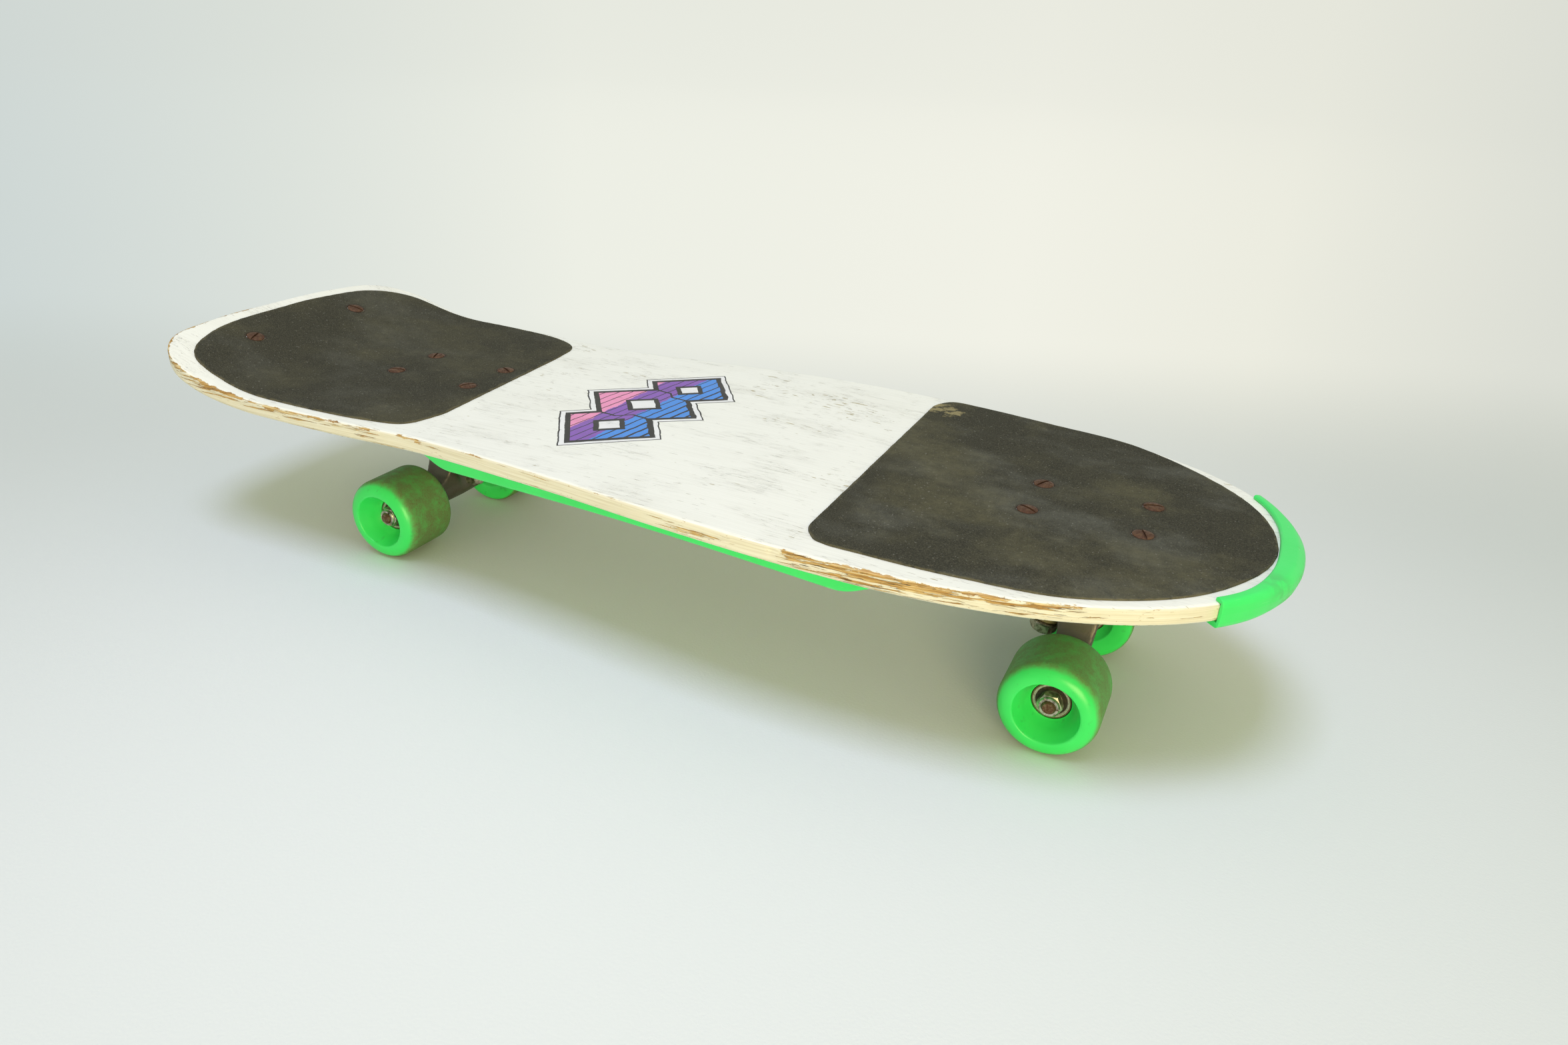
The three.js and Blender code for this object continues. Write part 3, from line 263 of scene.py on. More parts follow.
@dataclass(frozen=True)
class Finish:
    """A surface finish with the record's slot that it belongs to."""

    name: str
    slot: str

    def paint(self, shader: Shader) -> None:
        """Fills the shader's tree."""
        raise NotImplementedError

    def material(self) -> bpy.types.Material:
        """The finish's material, made at its first use."""
        if self not in MATERIALS:
            shader = Shader(self.name)
            self.paint(shader)
            MATERIALS[self] = shader.material
        return MATERIALS[self]


MATERIALS: dict[Finish, bpy.types.Material] = {}


@dataclass(frozen=True)
class PrintedDiamonds:
    """A plain printed badge of three striped diamonds on the deck's middle, in millimetres."""

    x: float = -41
    y: float = 7
    turn: float = -0.14
    centres: tuple[Pair, ...] = ((-42, 5), (2, -3), (45, 3))
    reach: tuple[Pair, ...] = ((36, 33), (40, 40), (31, 29))
    outline: float = 3.6
    border: float = 3.0
    hairline: float = 0.8

    def over(self, shader: Shader, under: object) -> bpy.types.NodeSocket:
        """Prints the badge over a colour.

        Args:
            shader: The shader it is drawn in.
            under: The colour below it.

        Returns:
            The printed colour.
        """
        x, y, _ = shader.axes()
        east, north = x - self.x, y - self.y
        cos, sin = math.cos(self.turn), math.sin(self.turn)
        wobble = (shader.noise(9) - 0.5) * 1.6
        across = north * cos - east * sin + wobble
        along = east * cos + north * sin + wobble
        gaps = []
        eyes = []
        for (u, v), (wide, high) in zip(self.centres, self.reach):
            side, rise = abs(across - u), abs(along - v)
            scale = 1 / math.hypot(1 / wide, 1 / high)
            gap = (side / wide + rise / high - 1) * scale
            gaps.append(gap)
            eyes.append(gap + scale * 0.72)
        gap = gaps[0].least(gaps[1]).least(gaps[2])
        eye = eyes[0].least(eyes[1]).least(eyes[2])
        fill = shader.ramp(
            (along + across * 0.1 + wobble * 3) / 80 + 0.5,
            (0.0, srgb(238, 152, 188)), (0.29, srgb(136, 92, 178)), (0.57, srgb(74, 144, 224)),
            interpolation="CONSTANT")
        thick = along.band(8, 26) * 0.45 + 0.42
        stripe = (shader.maths("PINGPONG", along + 40, 3.4) - thick).band(0.15, -0.15)
        seam = abs(gaps[0] - gaps[1]).least(abs(gaps[1] - gaps[2]))
        seam = (seam - 1.3 - wobble * 0.3).band(0.2, -0.2)
        ink = srgb(42, 41, 44)
        white = srgb(238, 238, 234)
        fill = shader.colour(stripe, fill, ink)
        fill = shader.colour(seam, fill, ink)
        fill = shader.colour((eye - 3.2 + wobble * 0.5).band(0.2, -0.2), fill, ink)
        fill = shader.colour((eye + 0.2).band(0.2, -0.2), fill, white)
        start, middle = self.outline, self.outline + self.border
        edge = shader.colour((gap + wobble * 0.9).band(-0.2, 0.2), fill, ink)
        edge = shader.colour((gap + wobble * 0.5).band(start - 0.2, start + 0.2), edge, white)
        edge = shader.colour(gap.band(middle - 0.15, middle + 0.15), edge, ink)
        return shader.colour(gap.band(middle + self.hairline, middle + self.hairline + 0.3), edge, under)


@dataclass(frozen=True)
class DeckPaint(Finish):
    """Chalky white paint, cracked along the grain and chipped to the plies at the rim.

    The mesh carries rim, the distance from the outline, and drop, the depth below the top face.
    """

    stains: tuple[tuple[float, float, float], ...] = (
        (19, 105, 34), (12, 74, 30), (54, 85, 40), (78, 82, 34), (-82, 66, 26), (-124, 11, 22),
        (-134, 41, 30), (-152, 100, 26), (95, 60, 40), (60, 30, 34), (118, -40, 30))
    badge: PrintedDiamonds = PrintedDiamonds()

    def paint(self, shader: Shader) -> None:
        """Lays the top, the edge and the underside over one another."""
        rim, drop = shader.attribute("rim"), shader.attribute("drop")
        x, y, _ = shader.axes()
        top, relief = self.top(shader, rim)
        side, side_relief = self.side(shader, x, y, drop)
        under, under_relief = self.underside(shader, rim)
        on_side = rim.band(1.4, 0.7) * drop.band(0.35, 0.9)
        below = drop.band(9.1, 9.6)
        base = shader.colour(on_side, top, side)
        base = shader.colour(below, base, under)
        height = relief * (1 - on_side) + side_relief * on_side
        height = height * (1 - below) + under_relief * below
        rough = shader.noise(26) * 0.2 + 0.42
        shader.dress(base, rough, 0.0, height, 0.35)

    def top(self, shader: Shader, rim: Value) -> tuple[object, Value]:
        """The top face: hairline cracks, dashes and chips that follow the grain."""
        fine = shader.noise(60, 0.8, 4, detail=4, rough=0.65)
        base = shader.ramp(
            fine, (0.3, srgb(231, 231, 218)), (0.46, srgb(241, 241, 228)), (0.75, srgb(245, 245, 233)))
        cloud = shader.noise(70, 40, 40, detail=3)
        base = shader.colour(cloud.band(0.5, 0.8) * 0.4, base, srgb(228, 227, 212))
        base = self.badge.over(shader, base)
        worn = shader.noise(48, 20, 30, detail=3, shift=5)
        spots = worn.band(0.45, 0.7) * 0.4
        for spot_x, spot_y, reach in self.stains:
            spots = spots + shader.near(spot_x, spot_y, reach) * 0.8
        spots = spots.clamped()
        line = shader.noise(44, 1.3, 6, detail=3, shift=2)
        hair = (1 - abs(line - 0.5) * 100).clamped() * worn.band(0.46, 0.62)
        dash = shader.noise(12, 0.5, 5, detail=1, shift=9)
        dashes = (dash + spots * 0.06).band(0.75, 0.765)
        flake = shader.noise(11, 2.4, 5, detail=3, rough=0.55, shift=21)
        lifted = flake + spots * 0.14
        flakes = lifted.band(0.76, 0.77)
        torn = (lifted.band(0.75, 0.76) - flakes).clamped()
        rim_worn = (self.rim_reach(shader) - rim).band(0, 0.5)
        base = shader.colour(hair * 0.55, base, srgb(112, 106, 88))
        base = shader.colour(dashes * 0.8, base, srgb(112, 98, 66))
        base = shader.colour(torn * 0.5, base, srgb(150, 138, 104))
        bare = shader.colour(dash.band(0.4, 0.6), srgb(206, 198, 166), srgb(178, 164, 124))
        base = shader.colour(flakes, base, bare)
        base = shader.colour(rim_worn, base, self.wood(shader))
        return base, 1 - (hair * 0.25 + dashes * 0.5 + flakes + rim_worn).clamped() + fine * 0.12

    def rim_reach(self, shader: Shader) -> Value:
        """How far the worn arris reaches in from the edge, in millimetres, broken along the middle."""
        x, y, _ = shader.axes()
        right = y.band(0, -40)
        ragged = shader.noise(24, 24, 6, detail=6, rough=0.68, shift=3)
        knocked = x.band(116, 132) * x.band(330, 270) * right * 1.4
        tail = x.band(-60, -190) * (right * 1.2 + 0.32)
        tip = x.band(-325, -368) * 1.1
        return (ragged - 0.56) * 12 + knocked + tail + tip

    def wood(self, shader: Shader) -> bpy.types.NodeSocket:
        """Bare, weathered ply."""
        grain = shader.noise(26, 26, 0.9, detail=4, rough=0.65, shift=13)
        return shader.ramp(
            grain, (0.28, srgb(118, 82, 30)), (0.43, srgb(168, 126, 58)), (0.54, srgb(196, 160, 92)),
            (0.68, srgb(232, 218, 172)))

    def side(self, shader: Shader, x: Value, y: Value, drop: Value) -> tuple[object, Value]:
        """The edge: a cream tone, darker and yellower than the top's white, over five plies, streaked brown,
        heavily chipped near the nose on the right.
        """
        streak = shader.noise(30, 30, 1.5, detail=5, rough=0.62, shift=7)
        speck = shader.noise(2.6, 2.6, 1.0, detail=2, shift=17)
        patch = shader.noise(40, 40, 9, detail=2, shift=31)
        right = y.band(0, -40)
        hot = x.band(121, 135) * x.band(330, 250) * right
        core = x.band(122, 134) * x.band(232, 160) * right
        tail = x.band(-90, -230) * (right * 0.6 + 0.4)
        upper = drop.band(8.5, 2.0)
        worn = streak + hot * (upper * 0.06 + 0.04) + core * 0.09 + tail * upper * 0.12 + (patch - 0.5) * 0.3
        brown = worn.band(0.63, 0.65)
        arris = (self.rim_reach(shader) * 1.6 + 0.3 - drop).band(0, 0.5)
        base = shader.ramp(
            shader.noise(44, 44, 0.8, detail=3), (0.3, srgb(212, 204, 176)), (0.5, srgb(225, 219, 194)),
            (0.8, srgb(233, 230, 212)))
        base = shader.colour(speck.band(0.7, 0.75) * 0.7, base, srgb(168, 132, 74))
        base = shader.colour((brown + arris).clamped(), base, self.wood(shader))
        splinter = shader.noise(16, 16, 0.55, detail=3, rough=0.6, shift=37)
        gash = (splinter + hot * 0.1 + core * 0.05 + (streak - 0.5) * 0.3).band(0.745, 0.765)
        gash = gash * (hot + tail * 0.3).clamped()
        base = shader.colour(gash, base, srgb(62, 42, 18))
        plies = shader.maths("PINGPONG", drop, 1.0).band(0.22, 0.0) * 0.12
        base = shader.colour(plies, base, srgb(150, 118, 64))
        return base, 1 - (brown * 0.6 + arris * 0.4 + gash * 0.5).clamped() + streak * 0.2

    def underside(self, shader: Shader, rim: Value) -> tuple[object, Value]:
        """The underside: the same white paint, scraped to the wood at the rim and along the middle."""
        grain = shader.noise(60, 1.3, 4, detail=4, rough=0.65, shift=41)
        base = shader.ramp(grain, (0.3, srgb(214, 214, 206)), (0.6, srgb(234, 234, 228)))
        scrape = shader.noise(2.4, 46, 6, detail=4, rough=0.7, shift=43)
        cloud = shader.noise(80, 50, 40, detail=2, shift=47)
        worn = (scrape + cloud * 0.3 + rim.band(30, 0) * 0.06).band(0.79, 0.82)
        base = shader.colour((scrape + cloud * 0.2).band(0.62, 0.74) * 0.45, base, srgb(158, 152, 138))
        base = shader.colour(worn, base, self.wood(shader))
        return base, 1 - worn + grain * 0.1


@dataclass(frozen=True)
class GripGrit(Finish):
    """Worn grit sheet: charcoal with dust, scuffs and a fine sharp grain. The mesh carries rim."""

    tan: tuple[float, float, float] = (137, 112, 26)
    halo: float = 11

    def paint(self, shader: Shader) -> None:
        """Mixes the grain, scuffs, dust and the worn patches."""
        rim = shader.attribute("rim")
        grain = shader.noise(0.8, detail=2, rough=0.7)
        speck = shader.noise(1.5, detail=1, shift=11)
        scuff = shader.noise(90, 60, 60, detail=6, rough=0.6, turn=0.7, shift=3)
        cloud = shader.noise(70, detail=6, rough=0.62, shift=7)
        fine = shader.noise(7, detail=4, rough=0.7, shift=15)
        loose = shader.axes()[0].band(-250, 150) * 0.45 + 0.55
        base = shader.ramp(grain, (0.3, srgb(40, 39, 30)), (0.5, srgb(56, 55, 43)), (0.7, srgb(80, 78, 62)))
        loose = (fine.band(0.3, 0.7) * 0.5 + 0.5) * loose
        base = shader.colour(scuff.band(0.46, 0.66) * loose * 0.42, base, srgb(108, 109, 98))
        base = shader.colour(cloud.band(0.44, 0.66) * loose * 0.5, base, srgb(104, 100, 72))
        base = shader.colour(fine.band(0.62, 0.76) * 0.35, base, srgb(120, 114, 90))
        base = shader.colour(speck.band(0.71, 0.75) * 0.3, base, srgb(150, 148, 136))
        ragged = rim - shader.noise(9, detail=3, shift=5) * 7
        base = shader.colour(ragged.band(-1.9, -3.6) * 0.35, base, srgb(120, 112, 82))
        x, y, reach = self.tan
        patch = shader.near(x, y, reach) + (shader.noise(9, detail=4, rough=0.7, shift=29) - 0.5) * 1.6
        base = shader.colour(patch.band(0.5, 0.72) * fine.band(0.4, 0.56) * 0.75, base, srgb(160, 148, 104))
        first, *others = bolt_heads("nose") + bolt_heads("tail")
        halo = shader.near(*first, self.halo)
        for place in others:
            halo = halo.most(shader.near(*place, self.halo))
        base = shader.colour(halo.band(0.1, 0.5) * 0.6, base, srgb(50, 36, 26))
        rough = 0.95 - speck.band(0.6, 0.75) * 0.3
        shader.dress(base, rough, 0.0, grain + speck * 0.5, 0.28, specular=0.3)


@dataclass(frozen=True)
class GreenPlastic(Finish):
    """Waxy bright green plastic with scuffs and dirt where it strikes the ground."""

    dirt: float = 0.5

    def paint(self, shader: Shader) -> None:
        """Mixes the plastic, its scratches and its dirt."""
        cloud = shader.noise(38, detail=2)
        base = shader.colour(cloud, srgb(50, 220, 98), srgb(70, 235, 116))
        worn = shader.attribute("worn")
        scratch = shader.noise(22, 22, 0.9, detail=4, rough=0.7, shift=3)
        dust = shader.noise(7, detail=4, rough=0.7, shift=9)
        marks = (worn * self.dirt + (scratch - 0.5) * 0.9 + (dust - 0.5) * 0.7).band(0.3, 0.7)
        base = shader.colour(marks * 0.75, base, srgb(132, 118, 70))
        pale = (scratch + worn * 0.08).band(0.66, 0.7) * 0.4
        base = shader.colour(pale, base, srgb(150, 232, 160))
        smudge = shader.near(358, -44, 15) * shader.noise(6, detail=3).band(0.4, 0.62)
        base = shader.colour(smudge * 0.3, base, srgb(84, 130, 84))
        rough = marks * 0.35 + dust * 0.2 + 0.26
        relief = shader.noise(5, detail=2, shift=4) * 0.6 + scratch * 0.3
        shader.dress(base, rough, 0.0, relief, 0.12)


@dataclass(frozen=True)
class WheelUrethane(Finish):
    """Green urethane with a road film on the tread. The mesh carries radius and depth."""

    film: float = 0.6
    tread: float = 27.2

    def paint(self, shader: Shader) -> None:
        """Mixes the clean urethane with the film that lies on the tread."""
        radius, depth = shader.attribute("radius"), shader.attribute("depth")
        cloud = shader.noise(16, detail=2)
        base = shader.colour(cloud, srgb(46, 220, 92), srgb(66, 234, 110))
        ragged = shader.noise(8, detail=4, rough=0.65)
        fine = shader.noise(1.0, detail=3, rough=0.7, shift=7)
        tread = (radius + (ragged - 0.5) * 1.4).band(self.tread - 1.4, self.tread + 1.3)
        inner = depth.band(42.6, 41)
        cover = (tread * inner * (ragged.band(0.28, 0.6) * 0.28 + 0.72) * (fine.band(0.3, 0.7) * 0.2 + 0.8))
        base = shader.colour(cover * self.film, base, srgb(110, 108, 66))
        speck = fine.band(0.66, 0.72) * tread
        base = shader.colour(speck * 0.55, base, srgb(72, 52, 30))
        smear = shader.noise(5, detail=4, shift=19).band(0.6, 0.74) * 0.22
        base = shader.colour(smear, base, srgb(60, 120, 60))
        rough = cover * 0.4 + 0.3
        shader.dress(base, rough, 0.0, ragged * 0.4 + fine * cover * 0.8, 0.15)


@dataclass(frozen=True)
class Steel(Finish):
    """Steel with its own tones, from bright plating to old rust.

    A piece's look is its clean and dull tones, how far it has rusted, and how rough it is.
    """

    clean: Colour = srgb(204, 198, 182)
    dull: Colour = srgb(120, 114, 98)
    rust: Colour = srgb(112, 62, 34)
    rusted: float = 0.2
    rough: float = 0.34
    metallic: float = 0.9
    grain: float = 1.0

    def paint(self, shader: Shader) -> None:
        """Mixes plating, grime and rust."""
        cloud = shader.noise(4 * self.grain, detail=4, rough=0.6)
        fine = shader.noise(0.9 * self.grain, detail=3, rough=0.7, shift=5)
        base = shader.colour(cloud.band(0.35, 0.65), self.clean, self.dull)
        spread = (cloud * 0.6 + fine * 0.4 + (self.rusted - 0.5) * 0.5).band(0.42, 0.62)
        deep = shader.colour(fine.band(0.35, 0.65), self.rust, darker(self.rust, 0.45))
        base = shader.colour(spread, base, deep)
        metal = (1 - spread * 0.8) * self.metallic
        rough = spread * 0.4 + fine * 0.15 + self.rough
        shader.dress(base, rough, metal, fine + cloud, 0.06 * self.grain)


@dataclass(frozen=True)
class BearingFace(Finish):
    """A ball bearing's face in rings by radius: pale inner race, dark band over the shield, thin bright ring at
    its rim and dirty outer race. It carries radius.
    """

    def paint(self, shader: Shader) -> None:
        """Gives each ring its own tone."""
        radius = shader.attribute("radius")
        fine = shader.noise(1.2, detail=4, rough=0.7)
        base = shader.ramp(
            radius / 12, (0.0, srgb(150, 146, 132)), (0.53, srgb(58, 50, 40)), (0.74, srgb(200, 196, 182)),
            (0.84, srgb(120, 104, 78)), interpolation="CONSTANT")
        grime = fine.band(0.4, 0.68)
        base = shader.colour(grime * 0.6, base, srgb(78, 58, 36))
        shader.dress(base, fine * 0.4 + 0.32, 0.7 - grime * 0.5, fine, 0.05)


@dataclass(frozen=True)
class CastMetal(Finish):
    """Sand-cast alloy gone dull, with road dirt in its hollows."""

    def paint(self, shader: Shader) -> None:
        """Mixes the casting's skin, its dirt and a lighter tone on its sharp edges."""
        skin = shader.noise(1.3, detail=3, rough=0.65)
        cloud = shader.noise(15, detail=4, rough=0.6, shift=3)
        edge = Value(shader, shader.node("ShaderNodeNewGeometry").outputs["Pointiness"])
        base = shader.colour(cloud, srgb(118, 112, 102), srgb(92, 84, 72))
        # A lighter tone on sharp convex edges, found by pointiness.
        base = shader.colour(edge.band(0.52, 0.6) * 0.6, base, srgb(166, 162, 150))
        dirt = ((cloud - 0.5) * 1.2 + (0.5 - edge) * 4 + skin * 0.5).band(0.3, 0.8)
        base = shader.colour(dirt * 0.7, base, srgb(72, 56, 38))
        shader.dress(base, dirt * 0.3 + skin * 0.15 + 0.36, 0.75 - dirt * 0.55, skin + cloud * 0.5, 0.12)


@dataclass(frozen=True)
class SoftMoulding(Finish):
    """Rubber, cup plastic or bushing urethane in its own colour."""

    tone: Colour = srgb(46, 44, 42)
    dusty: Colour = srgb(98, 92, 80)
    rough: float = 0.62
    dust: float = 0.5

    def paint(self, shader: Shader) -> None:
        """Mixes the moulding with its dust."""
        cloud = shader.noise(11, detail=4, rough=0.6)
        fine = shader.noise(1.4, detail=2, shift=3)
        base = shader.colour(cloud * 0.4, self.tone, darker(self.tone, 0.6))
        film = (cloud * 0.7 + fine * 0.3).band(0.42, 0.68) * self.dust
        base = shader.colour(film, base, self.dusty)
        shader.dress(base, film * 0.25 + self.rough, 0.0, fine + cloud * 0.4, 0.08)


@dataclass(frozen=True)
class StudioCloth(Finish):
    """The pale sweep that the object stands on, with painted light: palest in the middle of the view, darker
    away from it and cooler to the left.

    Near the object it takes light and shadow as cloth does, over a painted falloff of light. Far off it fades
    to a glowing pale ground with a painted gradient of light across it.
    """

    middle: Pair = (60, -60)
    light_falloff_band: Pair = (150, 700)
    ahead_band: Pair = (740, 1350)
    away_band: Pair = (800, 1500)
    distant_shade_band: Pair = (1500, 9000)
    seen_from: Pair = (323.5, -580.5)
    view_cos: float = 0.916
    view_sin: float = 0.402
    least_range: float = 900

    def paint(self, shader: Shader) -> None:
        """Mixes the sweep's painted falloff of light, its grain and a few flecks of dust, and far off a glowing
        ground with a painted gradient of light.
        """
        x, y, _ = shader.axes()
        east, north = x - self.middle[0], y - self.middle[1]
        # Painted light: the cloth's colour darkens from the middle outwards, a painted pool of light.
        painted_falloff = shader.maths("SQRT", east * east + north * north).band(*self.light_falloff_band)
        base = shader.colour(painted_falloff, srgb(227, 231, 228), srgb(210, 215, 211))
        fleck = shader.noise(26, detail=4, rough=0.75, shift=9).band(0.78, 0.8)
        base = shader.colour(fleck * 0.25, base, srgb(120, 118, 112))
        shader.dress(base, 0.7, 0.0, shader.noise(1.6, detail=2), 0.1, specular=0.25)
        rays = shader.node("ShaderNodeLightPath").outputs
        seen = Value(shader, rays["Is Camera Ray"]).most(Value(shader, rays["Is Glossy Ray"]))
        seen = seen.most(Value(shader, rays["Is Transmission Ray"]))
        away = shader.maths("SQRT", x * x + y * y)
        aside, deep = self.seen_from
        left = (x - aside) * self.view_cos + (y - deep) * self.view_sin
        ahead = (y - deep) * self.view_cos - (x - aside) * self.view_sin
        bearing = left / shader.maths("SQRT", left * left + ahead * ahead).most(self.least_range)
        # Painted light: the ground that camera and glossy rays see glows with a gradient by bearing, bluish and
        # darker to the left, brightest ahead and darker to the right.
        ground = shader.ramp((bearing + 1) / 2, (0.2, srgb(206, 215, 213)), (0.28, srgb(219, 225, 219)),
                             (0.4, srgb(237, 239, 229)), (0.6, srgb(241, 241, 230)), (0.7, srgb(236, 236, 224)),
                             (0.79, srgb(220, 222, 213)))
        # Painted shade: the ground darkens far off.
        ground = shader.colour(away.band(*self.distant_shade_band) * 0.3, ground, srgb(206, 210, 203))
        reach = ahead.band(*self.ahead_band).most(away.band(*self.away_band))
        glow = shader.node("ShaderNodeEmission", {}, {"Color": ground, "Strength": 1.0})
        blend = shader.node("ShaderNodeMixShader", {}, {
            0: seen * reach, 1: shader.surface.outputs[0], 2: glow.outputs[0]})
        shader.node("ShaderNodeOutputMaterial", {"is_active_output": True}, {"Surface": blend.outputs[0]})


class Finishes:
    """Every finish of the skateboard."""

    paint = DeckPaint("chipped_white_paint", "deck_paint")
    grit = GripGrit("worn_grit", "grip_grit")
    plastic = GreenPlastic("green_plastic", "green_plastic")
    wheel_front = WheelUrethane("green_urethane_front", "wheel_urethane", film=0.86)
    wheel_rear = WheelUrethane("green_urethane_rear", "wheel_urethane", film=0.96)
    rubber = SoftMoulding("riser_rubber", "riser_rubber")
    cup = SoftMoulding("cup_plastic", "cup_plastic", tone=srgb(60, 58, 54), rough=0.45)
    bushing = SoftMoulding("bushing_urethane", "bushing_urethane", tone=srgb(204, 178, 128),
                           dusty=srgb(134, 112, 78), rough=0.42)
    casting = CastMetal("dull_casting", "cast_metal")
    rusty = Steel("rusty_steel", "rusty_steel", clean=srgb(98, 67, 44), dull=srgb(68, 46, 31),
                  rust=srgb(92, 57, 34), rusted=0.5, rough=0.42, metallic=0.3, grain=0.7)
    axle = Steel("old_axle_steel", "rusty_steel", clean=srgb(128, 106, 84), dull=srgb(88, 68, 52),
                 rust=srgb(104, 64, 40), rusted=0.5, rough=0.4, metallic=0.7, grain=0.6)
    plated = Steel("plated_steel", "plated_steel", rusted=0.09, rough=0.28, grain=0.8)
    bearing = BearingFace("bearing_steel", "bearing_steel")
    sweep = StudioCloth("studio_sweep", "")


def filleted(points: Sequence[Pair], radii: Sequence[float], steps: int = 5,
             closed: bool = False) -> list[Pair]:
    """Rounds the corners of a profile.

    Args:
        points: Its corners.
        radii: The radius at each corner, 0 where it stays sharp.
        steps: The faces of each round.
        closed: Whether the last point joins the first.

    Returns:
        The corners and the points of the rounds.
    """
    result: list[Pair] = []
    count = len(points)
    for i, (point, radius) in enumerate(zip(points, radii)):
        if radius <= 0 or (not closed and i in (0, count - 1)):
            result.append(point)
            continue
        here = Vector(point)
        back, ahead = (Vector(points[i - 1]) - here), (Vector(points[(i + 1) % count]) - here)
        half = back.angle(ahead) / 2
        cut = min(radius / math.tan(half), back.length * 0.49, ahead.length * 0.49)
        start, end = here + back.normalized() * cut, here + ahead.normalized() * cut
        for step in range(steps + 1):
            share = step / steps
            one = start.lerp(here, share)
            two = here.lerp(end, share)
            result.append(tuple(one.lerp(two, share)))
    return result


class Solid:
    """A mesh in the making, in millimetres."""

    def __init__(self) -> None:
        self.mesh = bmesh.new()

    @classmethod
    def lathe(cls, profile: Iterable[Pair], steps: int = 48, ring: bool = False) -> "Solid":
        """Spins a profile about the Z axis.

        Args:
            profile: Its points, each a radius and a height.
            steps: The faces round the axis.
            ring: Whether the profile closes on itself.

        Returns:
            The closed solid.
        """
        solid = cls()
        mesh = solid.mesh
        verts = [mesh.verts.new((radius, 0, height)) for radius, height in profile]
        edges = [mesh.edges.new(pair) for pair in zip(verts, verts[1:])]
        if ring:
            edges.append(mesh.edges.new((verts[-1], verts[0])))
        bmesh.ops.spin(mesh, geom=verts + edges, axis=(0, 0, 1), cent=(0, 0, 0), angle=TAU, steps=steps,
                       use_merge=True)
        bmesh.ops.remove_doubles(mesh, verts=mesh.verts, dist=1e-4)
        bmesh.ops.recalc_face_normals(mesh, faces=mesh.faces)
        return solid

    @classmethod
    def prism(cls, outline: Sequence[Pair], low: float, high: float) -> "Solid":
        """Stands an outline up between two heights."""
        solid = cls()
        mesh = solid.mesh
        verts = bmesh.ops.create_circle(mesh, cap_ends=True, radius=1, segments=len(outline))["verts"]
        for vert, (x, y) in zip(verts, outline):
            vert.co = (x, y, low)
        solid.extrude(mesh.faces[:], Matrix.Translation((0, 0, high - low)))
        bmesh.ops.recalc_face_normals(mesh, faces=mesh.faces)
        return solid

    @classmethod
    def sweep(cls, sections: Sequence[Sequence[Vector]]) -> "Solid":
        """Extrudes a face through a row of sections that have the same number of points."""
        solid = cls()
        mesh = solid.mesh
        first = sections[0]
        verts = bmesh.ops.create_circle(mesh, cap_ends=True, radius=1, segments=len(first))["verts"]
        for vert, point in zip(verts, first):
            vert.co = point
        face = mesh.faces[:][0]
        for section in sections[1:]:
            made = bmesh.ops.extrude_face_region(mesh, geom=[face])["geom"]
            face = next(item for item in made if isinstance(item, bmesh.types.BMFace))
            moved = [None] * len(verts)
            for vert in face.verts:
                near = min(range(len(verts)), key=lambda i: (verts[i].co - vert.co).length_squared)
                moved[near] = vert
            for vert, point in zip(moved, section):
                vert.co = point
            verts = moved
        bmesh.ops.recalc_face_normals(mesh, faces=mesh.faces)
        return solid

    @classmethod
    def of_node(cls, name: str) -> "Solid":
        """A merged copy of a CAD node."""
        solid = cls()
        solid.mesh.from_mesh(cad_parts[name].data)
        bmesh.ops.remove_doubles(solid.mesh, verts=solid.mesh.verts, dist=1e-6)
        return solid.moved(Matrix.Scale(1 / MM, 4))

    def extrude(self, faces: Sequence[bmesh.types.BMFace], move: Matrix) -> list[bmesh.types.BMVert]:
        """Extrudes faces as one region and moves the new ones."""
        made = bmesh.ops.extrude_face_region(self.mesh, geom=faces)["geom"]
        verts = [item for item in made if isinstance(item, bmesh.types.BMVert)]
        bmesh.ops.transform(self.mesh, matrix=move, verts=verts)
        return verts

    def moved(self, matrix: Matrix) -> "Solid":
        """Moves the whole mesh. A mirror turns its faces back outwards."""
        bmesh.ops.transform(self.mesh, matrix=matrix, verts=self.mesh.verts)
        if matrix.determinant() < 0:
            bmesh.ops.reverse_faces(self.mesh, faces=self.mesh.faces)
        return self

    def bevelled(self, edges: Sequence[bmesh.types.BMEdge], width: float, segments: int = 3) -> "Solid":
        """Rounds edges."""
        bmesh.ops.bevel(self.mesh, geom=list(edges), offset=width, segments=segments, profile=0.5,
                        affect="EDGES", material=-1, clamp_overlap=True)
        return self

    def sharp_edges(self, angle: float = 0.6) -> list[bmesh.types.BMEdge]:
        """The edges where faces meet at more than an angle."""
        return [edge for edge in self.mesh.edges if edge.is_manifold and edge.calc_face_angle(0) > angle]

    def evaluated(self, change: Callable[[bpy.types.Object], None]) -> "Solid":
        """Puts the mesh through modifiers that a function adds to a spare object."""
        spare = self.spare()
        change(spare)
        graph = bpy.context.evaluated_depsgraph_get()
        result = bpy.data.meshes.new_from_object(spare.evaluated_get(graph))
        self.mesh.free()
        self.mesh = bmesh.new()
        self.mesh.from_mesh(result)
        bpy.data.objects.remove(spare)
        bpy.data.meshes.remove(result)
        return self

    def spare(self) -> bpy.types.Object:
        """A scratch object that holds a copy of the mesh."""
        held = bpy.data.meshes.new("spare")
        self.mesh.to_mesh(held)
        spare = bpy.data.objects.new("spare", held)
        bpy.context.scene.collection.objects.link(spare)
        return spare

